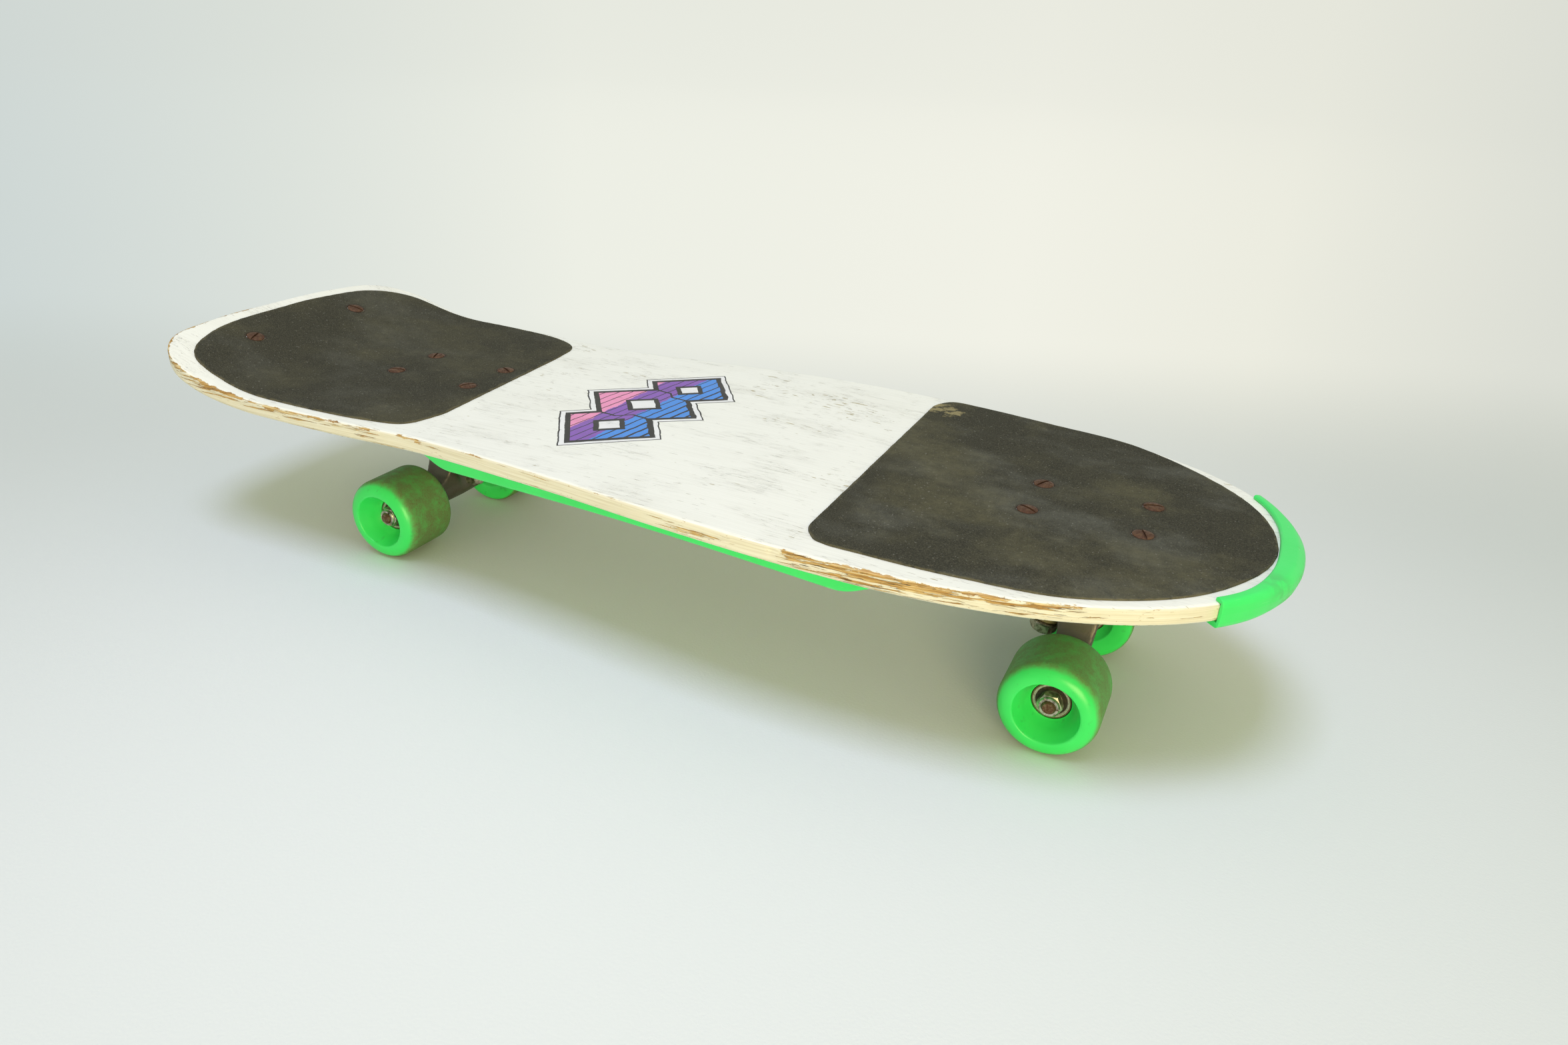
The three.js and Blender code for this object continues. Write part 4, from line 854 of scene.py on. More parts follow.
    def carved(self, *tools: "Solid", operation: str = "DIFFERENCE") -> "Solid":
        """Cuts, joins or intersects with other solids."""
        for tool in tools:
            cutter = tool.spare()

            def change(spare: bpy.types.Object) -> None:
                modifier = spare.modifiers.new("carve", "BOOLEAN")
                modifier.operation, modifier.object, modifier.solver = operation, cutter, "EXACT"

            self.evaluated(change)
            bpy.data.objects.remove(cutter)
            tool.mesh.free()
        return self

    def cast(self, voxel: float, passes: int) -> "Solid":
        """Remeshes the solid into one soft skin, as a sand casting has."""
        def change(spare: bpy.types.Object) -> None:
            remesh = spare.modifiers.new("skin", "REMESH")
            remesh.mode, remesh.voxel_size = "VOXEL", voxel

        self.evaluated(change)
        for _ in range(passes):
            bmesh.ops.smooth_vert(self.mesh, verts=self.mesh.verts, factor=0.5, use_axis_x=True,
                                  use_axis_y=True, use_axis_z=True)
        return self

    def sliced(self, places: Iterable[float], axis: int = 0) -> "Solid":
        """Cuts every face at places along an axis."""
        normal = Vector((0, 0, 0))
        normal[axis] = 1
        for place in places:
            geometry = self.mesh.verts[:] + self.mesh.edges[:] + self.mesh.faces[:]
            bmesh.ops.bisect_plane(self.mesh, geom=geometry, plane_co=normal * place, plane_no=normal,
                                   dist=1e-4)
        return self

    def shaped(self, change: Callable[[Vector], Vector]) -> "Solid":
        """Moves each vertex by a function of its place."""
        for vert in self.mesh.verts:
            vert.co = change(vert.co)
        return self

    def marked(self, name: str, measure: Callable[[Vector], float]) -> "Solid":
        """Paints a number on each vertex for the finish to read."""
        layer = self.mesh.verts.layers.float.get(name) or self.mesh.verts.layers.float.new(name)
        for vert in self.mesh.verts:
            vert[layer] = measure(vert.co)
        return self

    def piece(self, name: str, body: str, finish: Finish, *nodes: str,
              crease: float = 0.7) -> bpy.types.Object:
        """Turns the mesh into a finished object of the skateboard.

        Args:
            name: The piece's name.
            body: The CAD body that it rides on.
            finish: Its finish.
            nodes: The CAD nodes that it stands for.
            crease: Faces that meet at more than this angle keep a crisp edge.

        Returns:
            The object, at the origin.
        """
        bmesh.ops.transform(self.mesh, matrix=Matrix.Scale(MM, 4), verts=self.mesh.verts)
        for face in self.mesh.faces:
            face.smooth = True
        data = bpy.data.meshes.new(name)
        self.mesh.to_mesh(data)
        self.mesh.free()
        data.set_sharp_from_angle(angle=crease)
        data.materials.append(finish.material())
        made = bpy.data.objects.new(name, data)
        bpy.context.scene.collection.objects.link(made)
        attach(made, body)
        if nodes:
            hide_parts(*nodes)
        LOG.info("%s: %d faces on %s", name, len(data.polygons), body)
        return made


def turn(axis: str, angle: float) -> Matrix:
    """A turn about an axis."""
    return Matrix.Rotation(angle, 4, axis)


def shift(x: float, y: float, z: float) -> Matrix:
    """A move."""
    return Matrix.Translation((x, y, z))


def centripetal(points: Sequence[Vector], closed: bool, steps: int) -> list[Vector]:
    """A smooth curve through points, with centripetal spacing.

    Args:
        points: The points.
        closed: Whether the curve returns to its first point.
        steps: The points of each span.

    Returns:
        The curve's points. An open curve ends on the last point.
    """
    count = len(points)
    result = []
    for i in range(count if closed else count - 1):
        if closed:
            before, start, end, after = (points[(i + k) % count] for k in (-1, 0, 1, 2))
        else:
            start, end = points[i], points[i + 1]
            before = points[i - 1] if i else start * 2 - end
            after = points[i + 2] if i + 2 < count else end * 2 - start
        pairs = ((before, start), (start, end), (end, after))
        first, span, last = (max((b - a).length_squared, 1e-9) ** 0.25 for a, b in pairs)
        leave = ((start - before) / first - (end - before) / (first + span) + (end - start) / span) * span
        enter = ((end - start) / span - (after - start) / (span + last) + (after - end) / last) * span
        for step in range(steps):
            t = step / steps
            square, cube = t * t, t * t * t
            result.append(start * (2 * cube - 3 * square + 1) + leave * (cube - 2 * square + t)
                          + end * (3 * square - 2 * cube) + enter * (cube - square))
    if not closed:
        result.append(points[-1].copy())
    return result


@dataclass
class BoardShape:
    """The deck's plan and side view, in millimetres."""

    tail_x: float = -371.75
    length: float = 733
    half_width: float = 136.49
    thickness: float = 10
    top_z: float = 117.643
    highest: float = 142.163
    kick_start: float = 112
    kick_radius: float = 200
    kick_angle: float = math.radians(17)
    camber: float = 3
    camber_middle: float = 29.35
    camber_reach: float = 189.1
    outline_shares: tuple[Pair, ...] = (
        (0, 0), (0.003, 0.41), (0.0145, 0.7), (0.048, 0.843), (0.136, 0.862), (0.232, 0.859),
        (0.327, 0.835), (0.45, 0.897), (0.573, 0.974), (0.682, 1), (0.778, 0.974), (0.866, 0.878),
        (0.9345, 0.703), (0.978, 0.487), (0.9952, 0.264), (1, 0))
    span_steps: int = 28
    slice_offset: float = 0.137

    def __post_init__(self) -> None:
        """Lays the outline and a search tree of its points."""
        self.nose_x = self.tail_x + self.length
        left = [Vector((self.tail_x + along * self.length, across * self.half_width, 0))
                for along, across in self.outline_shares]
        right = [Vector((point.x, -point.y, 0)) for point in reversed(left[1:-1])]
        self.outline = centripetal(left + right, True, self.span_steps)
        self.tree = KDTree(len(self.outline))
        for i, point in enumerate(self.outline):
            self.tree.insert(point, i)
        self.tree.balance()

    def slope(self, x: float) -> float:
        """The kick's slope at a place, 0 on the flat."""
        ahead = self.tail_x + self.kick_start - x
        return math.asin(min(ahead / self.kick_radius, math.sin(self.kick_angle))) if ahead > 0 else 0.0

    def rise(self, x: float) -> float:
        """The top face's height above the flat at a place."""
        ahead = self.tail_x + self.kick_start - x
        if ahead > 0:
            slope = self.slope(x)
            past = max(0.0, ahead - self.kick_radius * math.sin(self.kick_angle))
            return self.kick_radius * (1 - math.cos(slope)) + past * math.tan(slope)
        share = (x - self.camber_middle) / self.camber_reach
        return self.camber * (1 - share * share) ** 2 if abs(share) < 1 else 0.0

    def top(self, x: float) -> float:
        """The height of the top face."""
        return min(self.top_z + self.rise(x), self.highest)

    def under(self, x: float) -> float:
        """The height of the underside."""
        return self.top(x) - self.thickness / math.cos(self.slope(x))

    def bent(self, point: Vector) -> Vector:
        """Lays a point that is drawn over a flat board on the bent one."""
        return Vector((point.x, point.y, self.top(point.x) + point.z / math.cos(self.slope(point.x))))

    def rim(self, point: Vector) -> float:
        """The distance from a point to the outline."""
        flat = Vector((point.x, point.y, 0))
        _, i, _ = self.tree.find(flat)
        best = math.inf
        for k in (i - 1, i):
            start, end = self.outline[k], self.outline[(k + 1) % len(self.outline)]
            span = end - start
            share = max(0.0, min(1.0, (flat - start).dot(span) / max(span.length_squared, 1e-9)))
            best = min(best, (flat - start - span * share).length)
        return best

    def slices(self, low: float, high: float, step: float = 6.0) -> list[float]:
        """Places across the board where faces are cut so that they can bend."""
        first = math.ceil(low / step)
        return [k * step + self.slice_offset for k in range(first, math.floor(high / step) + 1)]

    def half_width_at(self, x: float) -> float:
        """Half the width at a place."""
        left = [point for point in self.outline if point.y >= 0]
        left.sort(key=lambda point: point.x)
        for start, end in zip(left, left[1:]):
            if start.x <= x <= end.x:
                return mix(start.y, end.y, (x - start.x) / max(end.x - start.x, 1e-9))
        return 0.0


BOARD = BoardShape()


@dataclass
class Deck:
    """The painted ply deck and its two grit sheets."""

    edge_round: float = 2.3
    rings: tuple[float, ...] = (1.2, 1.6, 2.2, 3.2, 5.0, 8.0)
    grip_thickness: float = 0.9
    grip_gap: float = 0.1
    grip_steps: int = 20
    grip_round: float = 0.35
    grip_rings: tuple[float, ...] = (0.9, 1.3, 1.6)
    worn_reach: float = 4
    hole_radius: float = 6.2
    corner_round: float = 5.5
    tail_margin: float = 10.6
    tail_length: float = 216.4
    nose_length: float = 230
    nose_gap: float = 4.0
    tail_shares: tuple[Pair, ...] = (
        (0, -0.53), (0.04, -0.715), (0.15, -0.772), (0.36, -0.802), (0.7, -0.788), (0.885, -0.722),
        (0.975, -0.46), (1, 0), (0.998, 0.29), (0.96, 0.62), (0.86, 0.785), (0.62, 0.832),
        (0.38, 0.832), (0.18, 0.792), (0.08, 0.7), (0.05, 0.5))
    nose_shares: tuple[Pair, ...] = (
        (0.008, -0.79), (0.05, -0.868), (0.18, -0.878), (0.38, -0.864), (0.61, -0.812), (0.84, -0.584),
        (0.972, -0.25), (1, 0), (0.955, 0.31), (0.84, 0.571), (0.6, 0.853), (0.36, 0.932),
        (0.12, 0.97), (0.04, 0.958), (0, 0.86))

    def build(self) -> None:
        """Makes the deck and both sheets."""
        self.make_deck()
        end = BOARD.tail_x + self.tail_margin + self.tail_length
        tail = [Vector((end - along * self.tail_length, across * BOARD.half_width, 0))
                for along, across in self.tail_shares]
        self.make_grip("tail", tail)
        start = BOARD.nose_x - self.nose_gap - self.nose_length
        nose = [Vector((start + along * self.nose_length, across * BOARD.half_width, 0))
                for along, across in self.nose_shares]
        self.make_grip("nose", nose)

    def make_deck(self) -> None:
        """The deck: a rounded plate, ringed for its worn rim and bent to the kick and camber."""
        solid = Solid.prism([(point.x, point.y) for point in BOARD.outline], -BOARD.thickness, 0)
        mesh = solid.mesh
        upright = [edge for edge in mesh.edges if abs(edge.verts[0].co.z - edge.verts[1].co.z) > 1]
        bmesh.ops.subdivide_edges(mesh, edges=upright, cuts=4, use_grid_fill=True)
        rims = [edge for edge in mesh.edges
                if all(abs(vert.co.z) < 1e-3 or abs(vert.co.z + BOARD.thickness) < 1e-3 for vert in edge.verts)
                and abs(edge.verts[0].co.z - edge.verts[1].co.z) < 1e-3 and edge.is_manifold
                and edge.calc_face_angle(0) > 1]
        solid.bevelled(rims, self.edge_round, 4)
        for width in self.rings:
            caps = [face for face in mesh.faces if len(face.verts) > 100]
            bmesh.ops.inset_region(mesh, faces=caps, thickness=width, use_even_offset=True, use_boundary=True)
        solid.sliced(BOARD.slices(BOARD.tail_x + 1, BOARD.nose_x - 1))
        solid.marked("rim", BOARD.rim)
        solid.marked("drop", lambda point: -point.z)
        solid.shaped(self.worn)
        solid.shaped(BOARD.bent)
        solid.piece("deck_board", "board", Finishes.paint, "deck", crease=0.9)

    def worn(self, point: Vector) -> Vector:
        """Chips and softens the rim a little, more where the deck has been knocked."""
        reach = BOARD.rim(point)
        if reach > self.worn_reach:
            return point
        hot = 1.0 if 120 < point.x < 285 and point.y < 0 else 0.35
        rough = noise.noise(Vector((point.x / 9, point.y / 9, point.z / 2.4)))
        fine = noise.noise(Vector((point.x / 3.1, point.y / 3.1, point.z / 1.4)) + Vector((7, 3, 1)))
        depth = max(0.0, rough * 0.9 + fine * 0.5) * hot * (1 - reach / self.worn_reach) * 1.1
        inward = Vector((BOARD.camber_middle - point.x, -point.y * 3, 0)).normalized()
        lower = min(1.0, max(0.0, -point.z / 2.5))
        upper = min(1.0, max(0.0, (point.z + BOARD.thickness) / 2.5))
        return point + inward * depth * lower * upper - Vector((0, 0, depth * 0.35 * (1 - lower)))

    def make_grip(self, end: str, corners: list[Vector]) -> None:
        """A grit sheet with a soft ragged rim, holed for the bolts and bent with the deck."""
        curve = centripetal(corners, False, self.grip_steps)
        closing = [curve[-1].lerp(curve[0], k / 40) for k in range(1, 40)]
        outline = self.softened(curve + closing, curve[-1])
        outline = self.softened(outline, curve[0])
        ragged = []
        for point in outline:
            jitter = noise.noise(Vector((point.x / 5, point.y / 5, 3))) * 0.35
            ragged.append((point.x + jitter, point.y + jitter * 0.6))
        solid = Solid.prism(ragged, 0, self.grip_thickness)
        mesh = solid.mesh
        rims = [edge for edge in mesh.edges if all(vert.co.z > self.grip_thickness / 2 for vert in edge.verts)]
        solid.bevelled(rims, self.grip_round, 2)
        for width in self.grip_rings:
            caps = [face for face in mesh.faces if len(face.verts) > 100 and face.normal.z > 0.5]
            bmesh.ops.inset_region(mesh, faces=caps, thickness=width, use_even_offset=True, use_boundary=True)
        low, high = min(point.x for point in outline), max(point.x for point in outline)
        solid.sliced(BOARD.slices(low + 1, high - 1))
        tree = KDTree(len(outline))
        for i, point in enumerate(outline):
            tree.insert(point, i)
        tree.balance()
        solid.carved(*self.bolt_rooms(end))
        solid.marked("rim", lambda point: tree.find(Vector((point.x, point.y, 0)))[2])
        solid.shaped(lambda point: BOARD.bent(point) + Vector((0, 0, self.grip_gap)))
        solid.piece(f"grip_{end}_sheet", "board", Finishes.grit, f"grip_{end}", crease=0.8)

    def softened(self, outline: list[Vector], corner: Vector) -> list[Vector]:
        """Rounds one corner of an outline.

        Args:
            outline: A closed row of points.
            corner: The corner to round.

        Returns:
            The outline, which now starts past that corner.
        """
        nearest = min(range(len(outline)), key=lambda i: (outline[i] - corner).length_squared)
        turned = outline[nearest:] + outline[:nearest]
        kept = [point for point in turned if (point - corner).length > self.corner_round]
        start, end = kept[-1], kept[0]
        return kept + [start.lerp(corner, k / 10).lerp(corner.lerp(end, k / 10), k / 10) for k in range(1, 10)]

    def bolt_rooms(self, end: str) -> list[Solid]:
        """The holes that a sheet has for the bolts at its end."""
        profile = [(0, -3), (self.hole_radius, -3), (self.hole_radius, 3), (0, 3)]
        return [Solid.lathe(profile, 32).moved(shift(x, y, 0)) for x, y in bolt_heads(end)]


class Hardware:
    """Bolts, nuts and screws, in millimetres."""

    spacing_long = 63.5
    spacing_wide = 41.3
    head_radius = 6.0
    head_depth = 3.2
    dome = 1.2
    shank = 2.4
    slot_turns = (0.1, 0.62, 0.35, 0.84)

    @classmethod
    def bolt_places(cls) -> list[Pair]:
        """Places of the four bolts about a truck's centre."""
        return [(a * cls.spacing_long / 2, b * cls.spacing_wide / 2) for a in (1, -1) for b in (1, -1)]

    @staticmethod
    def hex_prism(across: float, low: float, high: float, chamfer: float = 0.6) -> Solid:
        """A hexagon nut with chamfered corners."""
        radius = across / 2 / math.cos(math.pi / 6)
        outline = [(radius * math.cos(TAU * k / 6), radius * math.sin(TAU * k / 6)) for k in range(6)]
        cone = Solid.lathe([
            (0, low), (across / 2 * 0.97, low), (radius, low + chamfer), (radius, high - chamfer),
            (across / 2 * 0.97, high), (0, high)], 48)
        return Solid.prism(outline, low, high).carved(cone, operation="INTERSECT")

    @staticmethod
    def thread(radius: float, low: float, high: float, pitch: float, depth: float) -> list[Pair]:
        """The zigzag profile of a threaded stretch."""
        count = max(1, round((high - low) / pitch))
        points = []
        for k in range(count):
            start = mix(low, high, k / count)
            points += [(radius - depth, start), (radius, start + (high - low) / count / 2)]
        return points + [(radius - depth, high)]

    @classmethod
    def slotted_bolt(cls, clamp: float, slot_turn: float) -> Solid:
        """An oval slotted bolt, its seat at height 0, with a nut under its stack."""
        nut_end = -clamp - 4.5
        tip = nut_end - 2.0
        thread = cls.thread(cls.shank, tip + 0.4, -clamp + 3, 1.0, 0.22)
        profile = [(0, tip), (cls.shank - 0.5, tip)] + thread + [(cls.shank, -cls.head_depth)]
        crown = [(cls.head_radius * math.cos(a), cls.dome * math.sin(a) + 0.06)
                 for a in (0, 0.26, 0.52, 0.8, 1.1, 1.35)]
        profile += [(cls.head_radius - 0.1, -0.12)] + crown + [(0, cls.dome + 0.06)]
        bolt = Solid.lathe(profile, 40)
        slot = Solid.prism([(-9, -0.75), (9, -0.75), (9, 0.75), (-9, 0.75)], cls.dome - 1.15, cls.dome + 3)
        bolt.carved(slot.moved(turn("Z", slot_turn)))
        nut = cls.hex_prism(9.5, nut_end, -clamp, 0.5)
        return bolt.carved(nut, operation="UNION")

    @staticmethod
    def wood_screw(length: float) -> Solid:
        """A round-headed cross-slot screw that points up, its seat at height 0."""
        profile = [(0, -2.4), (1.2, -2.36), (2.4, -2.05), (3.3, -1.4), (3.75, -0.6), (3.8, 0), (1.7, 0)]
        profile += Hardware.thread(1.7, 0.6, length - 2, 1.3, 0.35)
        profile += [(0.9, length - 0.8), (0, length)]
        screw = Solid.lathe(profile, 28)
        for quarter in (0, 1):
            arm = Solid.prism([(-1.9, -0.32), (1.9, -0.32), (1.9, 0.32), (-1.9, 0.32)], -4, -1.35)
            screw.carved(arm.moved(turn("Z", quarter * TAU / 4 + 0.4)))
        return screw


@dataclass
class NoseGuard:
    """The green channel round the nose, with its three screws."""

    reach: float = 10.5
    end_thickness: float = 2.6
    lip: float = 3.4
    lip_thickness: float = 2.4
    flange: float = 21
    flange_thickness: float = 3
    left_end: float = 69
    right_end: float = 79
    gap: float = 0.3
    sections: int = 96
    screw_inset: float = 11
    screw_shares: tuple[float, ...] = (-0.58, 0, 0.58)
    face: tuple[Pair, ...] = ((0.45, 0), (0.88, 0.19), (1, 0.52), (0.94, 0.76), (0.55, 0.98))

    def place(self, share: float) -> tuple[Vector, Vector]:
        """A place on the nose's outline and the outward direction there."""
        wide = len(BOARD.outline)
        middle = wide // 2
        end = self.end_index(share < 0)
        where = mix(middle, end, abs(share))
        low = math.floor(where)
        start, stop = BOARD.outline[low % wide], BOARD.outline[(low + 1) % wide]
        along = (BOARD.outline[(low + 2) % wide] - BOARD.outline[(low - 1) % wide]).normalized()
        return start.lerp(stop, where - low), Vector((-along.y, along.x, 0))

    def end_index(self, left: bool) -> float:
        """The outline's index where the guard ends."""
        wide = len(BOARD.outline)
        middle = wide // 2
        limit = self.left_end if left else self.right_end
        step = -1 if left else 1
        at = middle
        while abs(BOARD.outline[at + step].y) < limit:
            at += step
        here, there = abs(BOARD.outline[at].y), abs(BOARD.outline[at + step].y)
        return at + step * (limit - here) / (there - here)

    def section(self, share: float) -> list[Pair]:
        """The channel's section: inside face, flange and rounded outside."""
        bulge = self.end_thickness + (self.reach - self.end_thickness) * (1 - share * share) ** 2
        top = self.gap + self.lip_thickness
        base = -BOARD.thickness - self.gap
        low = base - self.flange_thickness
        corners = [(-self.lip, self.gap), (self.gap, self.gap), (self.gap, base), (-self.flange, base),
                   (-self.flange, low)]
        corners += [(bulge * out, mix(low, top, up)) for out, up in self.face]
        corners += [(-self.lip + 0.9, top), (-self.lip, top - 0.9)]
        radii = [0.3, 0, 0, 0, 1.2, 3, 4, 5, 5, 4, 1.2, 1.0]
        return filleted(corners, radii, 4, closed=True)

    def build(self) -> None:
        """Makes the moulding and its screws."""
        sections = []
        shares = [2 * k / self.sections - 1 for k in range(self.sections + 1)]
        for share in shares:
            point, outward = self.place(share)
            sections.append([BOARD.bent(point + outward * out + Vector((0, 0, up)))
                             for out, up in self.section(share)])
        solid = Solid.sweep(sections)
        caps = [face for face in solid.mesh.faces if len(face.verts) > 8]
        edges = {edge for face in caps for edge in face.edges}
        solid.bevelled(edges, 0.7, 3)
        tip = BOARD.nose_x + self.reach
        solid.marked("worn", lambda point: self.wear(point, tip))
        solid.piece("nose_guard_moulding", "board", Finishes.plastic, "nose_guard", crease=0.9)
        seat = BOARD.top_z - BOARD.thickness - self.gap - self.flange_thickness - 0.25
        for i, share in enumerate(self.screw_shares):
            point, outward = self.place(share)
            point = point - outward * self.screw_inset
            screw = Hardware.wood_screw(9.5).moved(shift(point.x, point.y, seat))
            node = f"guard_screw_{i + 1}"
            screw.piece(f"{node}_cross_head", "board", Finishes.plated, node, crease=0.5)

    def wear(self, point: Vector, tip: float) -> float:
        """More dirt on the middle of the outer edge."""
        front = max(0.0, 1 - (tip - point.x) / 26)
        low = max(0.0, min(1.0, (BOARD.top_z - 1 - point.z) / 9))
        return front * (0.5 + 0.5 * low)


@dataclass
class Rails:
    """The two green bars under the deck's edges, cut to the photographed length and rounded off."""

    length: float = 350
    width: float = 15
    height: float = 12
    nose_height: float = 1.6
    taper: float = 26
    nose_cut: float = 20
    tail_cut: float = 12
    inset: float = 14.5
    splay: float = math.radians(4.2)
    centre_x: float = 23.35
    round: float = 3.0
    gap: float = 0.3
    screw_spacing: float = 112
    sections: int = 90

    def point(self, along: float, across: float, side: int) -> Vector:
        """A place on a rail, seen from above."""
        centre_y = BOARD.half_width_at(self.centre_x) - self.inset - self.width / 2
        cos, sin = math.cos(self.splay), math.sin(self.splay)
        x, y = self.centre_x + along * cos - across * sin, centre_y + along * sin + across * cos
        return Vector((x, side * y, 0))

    def section(self, height: float, width: float) -> list[Pair]:
        """A section, flat on top and round below."""
        half = width / 2
        radius = min(self.round, height * 0.45)
        corners = [(half, 0), (half, -height), (-half, -height), (-half, 0)]
        return filleted(corners, [0.3, radius, radius, 0.3], 6, True)

    def build(self) -> None:
        """Makes both bars and their screws."""
        for side, name in ((1, "left"), (-1, "right")):
            half = self.length / 2
            sections = []
            for k in range(self.sections + 1):
                share = 2 * k / self.sections - 1
                share = math.copysign(1 - (1 - abs(share)) ** 1.5, share)
                along = mix(self.tail_cut - half, half - self.nose_cut, (share + 1) / 2)
                left = min(along + half - self.tail_cut, half - self.nose_cut - along)
                from_end = max(0.0, min(1.0, left / self.taper))
                height = mix(self.nose_height, self.height, math.sin(from_end * math.pi / 2))
                width = self.width * mix(0.84, 1, min(1.0, from_end * 5) ** 0.5)
                ring = []
                for across, up in self.section(height, width):
                    place = self.point(along, across, side)
                    ring.append(Vector((place.x, place.y, BOARD.under(place.x) - self.gap + up)))
                sections.append(ring)
            solid = Solid.sweep(sections)
            caps = [face for face in solid.mesh.faces if len(face.verts) > 8]
            solid.bevelled({edge for face in caps for edge in face.edges}, 0.6, 3)
            tools = []
            for along in (-self.screw_spacing, 0, self.screw_spacing):
                place = self.point(along, 0, side)
                seat = BOARD.under(place.x) - self.gap - self.height / 2
                well = Solid.lathe([(0, -20), (4.6, -20), (4.4, 0), (0, 0)], 36)
                tools.append(well.moved(shift(place.x, place.y, seat)))
            solid.carved(*tools)
            low = BOARD.top_z - BOARD.thickness - self.height
            solid.marked("worn", lambda point: max(0.0, 1 - (point.z - low) / 5) * 0.8)
            solid.piece(f"rail_{name}_bar", "board", Finishes.plastic, f"rail_{name}", crease=0.9)
            for i, along in enumerate((-self.screw_spacing, 0, self.screw_spacing)):
                place = self.point(along, 0, side)
                seat = BOARD.under(place.x) - self.gap - self.height / 2 - 0.25
                node = f"rail_{name}_screw_{i + 1}"
                screw = Hardware.wood_screw(12.5).moved(shift(place.x, place.y, seat))
                screw.piece(f"{node}_cross_head", "board", Finishes.plated, node, crease=0.5)


@dataclass
class Skid:
    """The green bar under the kick and its two slotted bolts."""

    x = -338.75
    bolt_y = 48.25
    bolt_lean = 3.2
    length: float = 40
    width: float = 152
    thickness: float = 9
    bow: float = 6
    gap: float = 0.3
    nut_seat: float = -3.27

    def build(self) -> None:
        """Makes the bar and its bolts in a frame that lies on the kick's underside."""
        lie = shift(self.x, 0, BOARD.under(self.x)) @ turn("Y", BOARD.kick_angle)
        x, y = self.length / 2, self.width / 2
        outline = []
        for k in range(41):
            across = mix(-1, 1, k / 40)
            outline.append((-x + self.bow * across * across, across * y))
        outline.append((x - self.bow, y))
        outline += [(x - self.bow * 0.35, y - self.bow * 0.3), (x, y - 2 * self.bow)]
        outline += [(x, -y + 2 * self.bow), (x - self.bow * 0.35, -y + self.bow * 0.3), (x - self.bow, -y)]
        solid = Solid.prism(outline, -self.thickness - self.gap, -self.gap)
        solid.bevelled(solid.sharp_edges(0.9), 2.4, 5)
        tools = []
        for place in (self.bolt_y, -self.bolt_y):
            well = Solid.lathe([(0, -30), (7.1, -30), (6.9, self.nut_seat), (0, self.nut_seat)], 36)
            tools.append(well.moved(shift(0, place, 0)))
        solid.carved(*tools)
        solid.marked("worn", lambda point: max(0.0, min(1.0, (-point.z - 4) / 5)) * 1.1)
        solid.moved(lie).piece("tail_skid_bar", "board", Finishes.plastic, "tail_skid", crease=0.8)
        clamp = BOLT_SEAT + BOARD.thickness - self.nut_seat + BOLT_GAP
        for i, (side, place) in enumerate((("left", self.bolt_y), ("right", -self.bolt_y))):
            bolt = Hardware.slotted_bolt(clamp, Hardware.slot_turns[i] * math.pi)
            bolt.moved(lie @ shift(0, place, BOARD.thickness + BOLT_SEAT))
            bolt.piece(f"skid_bolt_{side}_slotted", "board", Finishes.rusty, f"skid_bolt_{side}", crease=0.5)


RISER_THICKNESS = 14
PLATE_THICKNESS = 6
BOLT_SEAT = 1.0
BOLT_GAP = 0.25


@dataclass(frozen=True)
class TruckPlace:
    """Where a truck stands and which way it faces."""

    name: str
    x: float
    turn: float

    @property
    def lie(self) -> Matrix:
        """The truck's own frame: its origin is on the baseplate's top face."""
        return shift(self.x, 0, BOARD.top_z - BOARD.thickness - RISER_THICKNESS) @ turn("Z", self.turn)


TRUCKS = {"nose": TruckPlace("front", 257.95, 0), "tail": TruckPlace("rear", -199.25, math.pi)}


def bolt_heads(end: str) -> list[Pair]:
    """Places of the bolts in the deck at one end: the truck's, and at the tail the skid's too."""
    places = [(TRUCKS[end].x + x, y) for x, y in Hardware.bolt_places()]
    if end == "tail":
        places += [(Skid.x + Skid.bolt_lean, y) for y in (Skid.bolt_y, -Skid.bolt_y)]
    return places


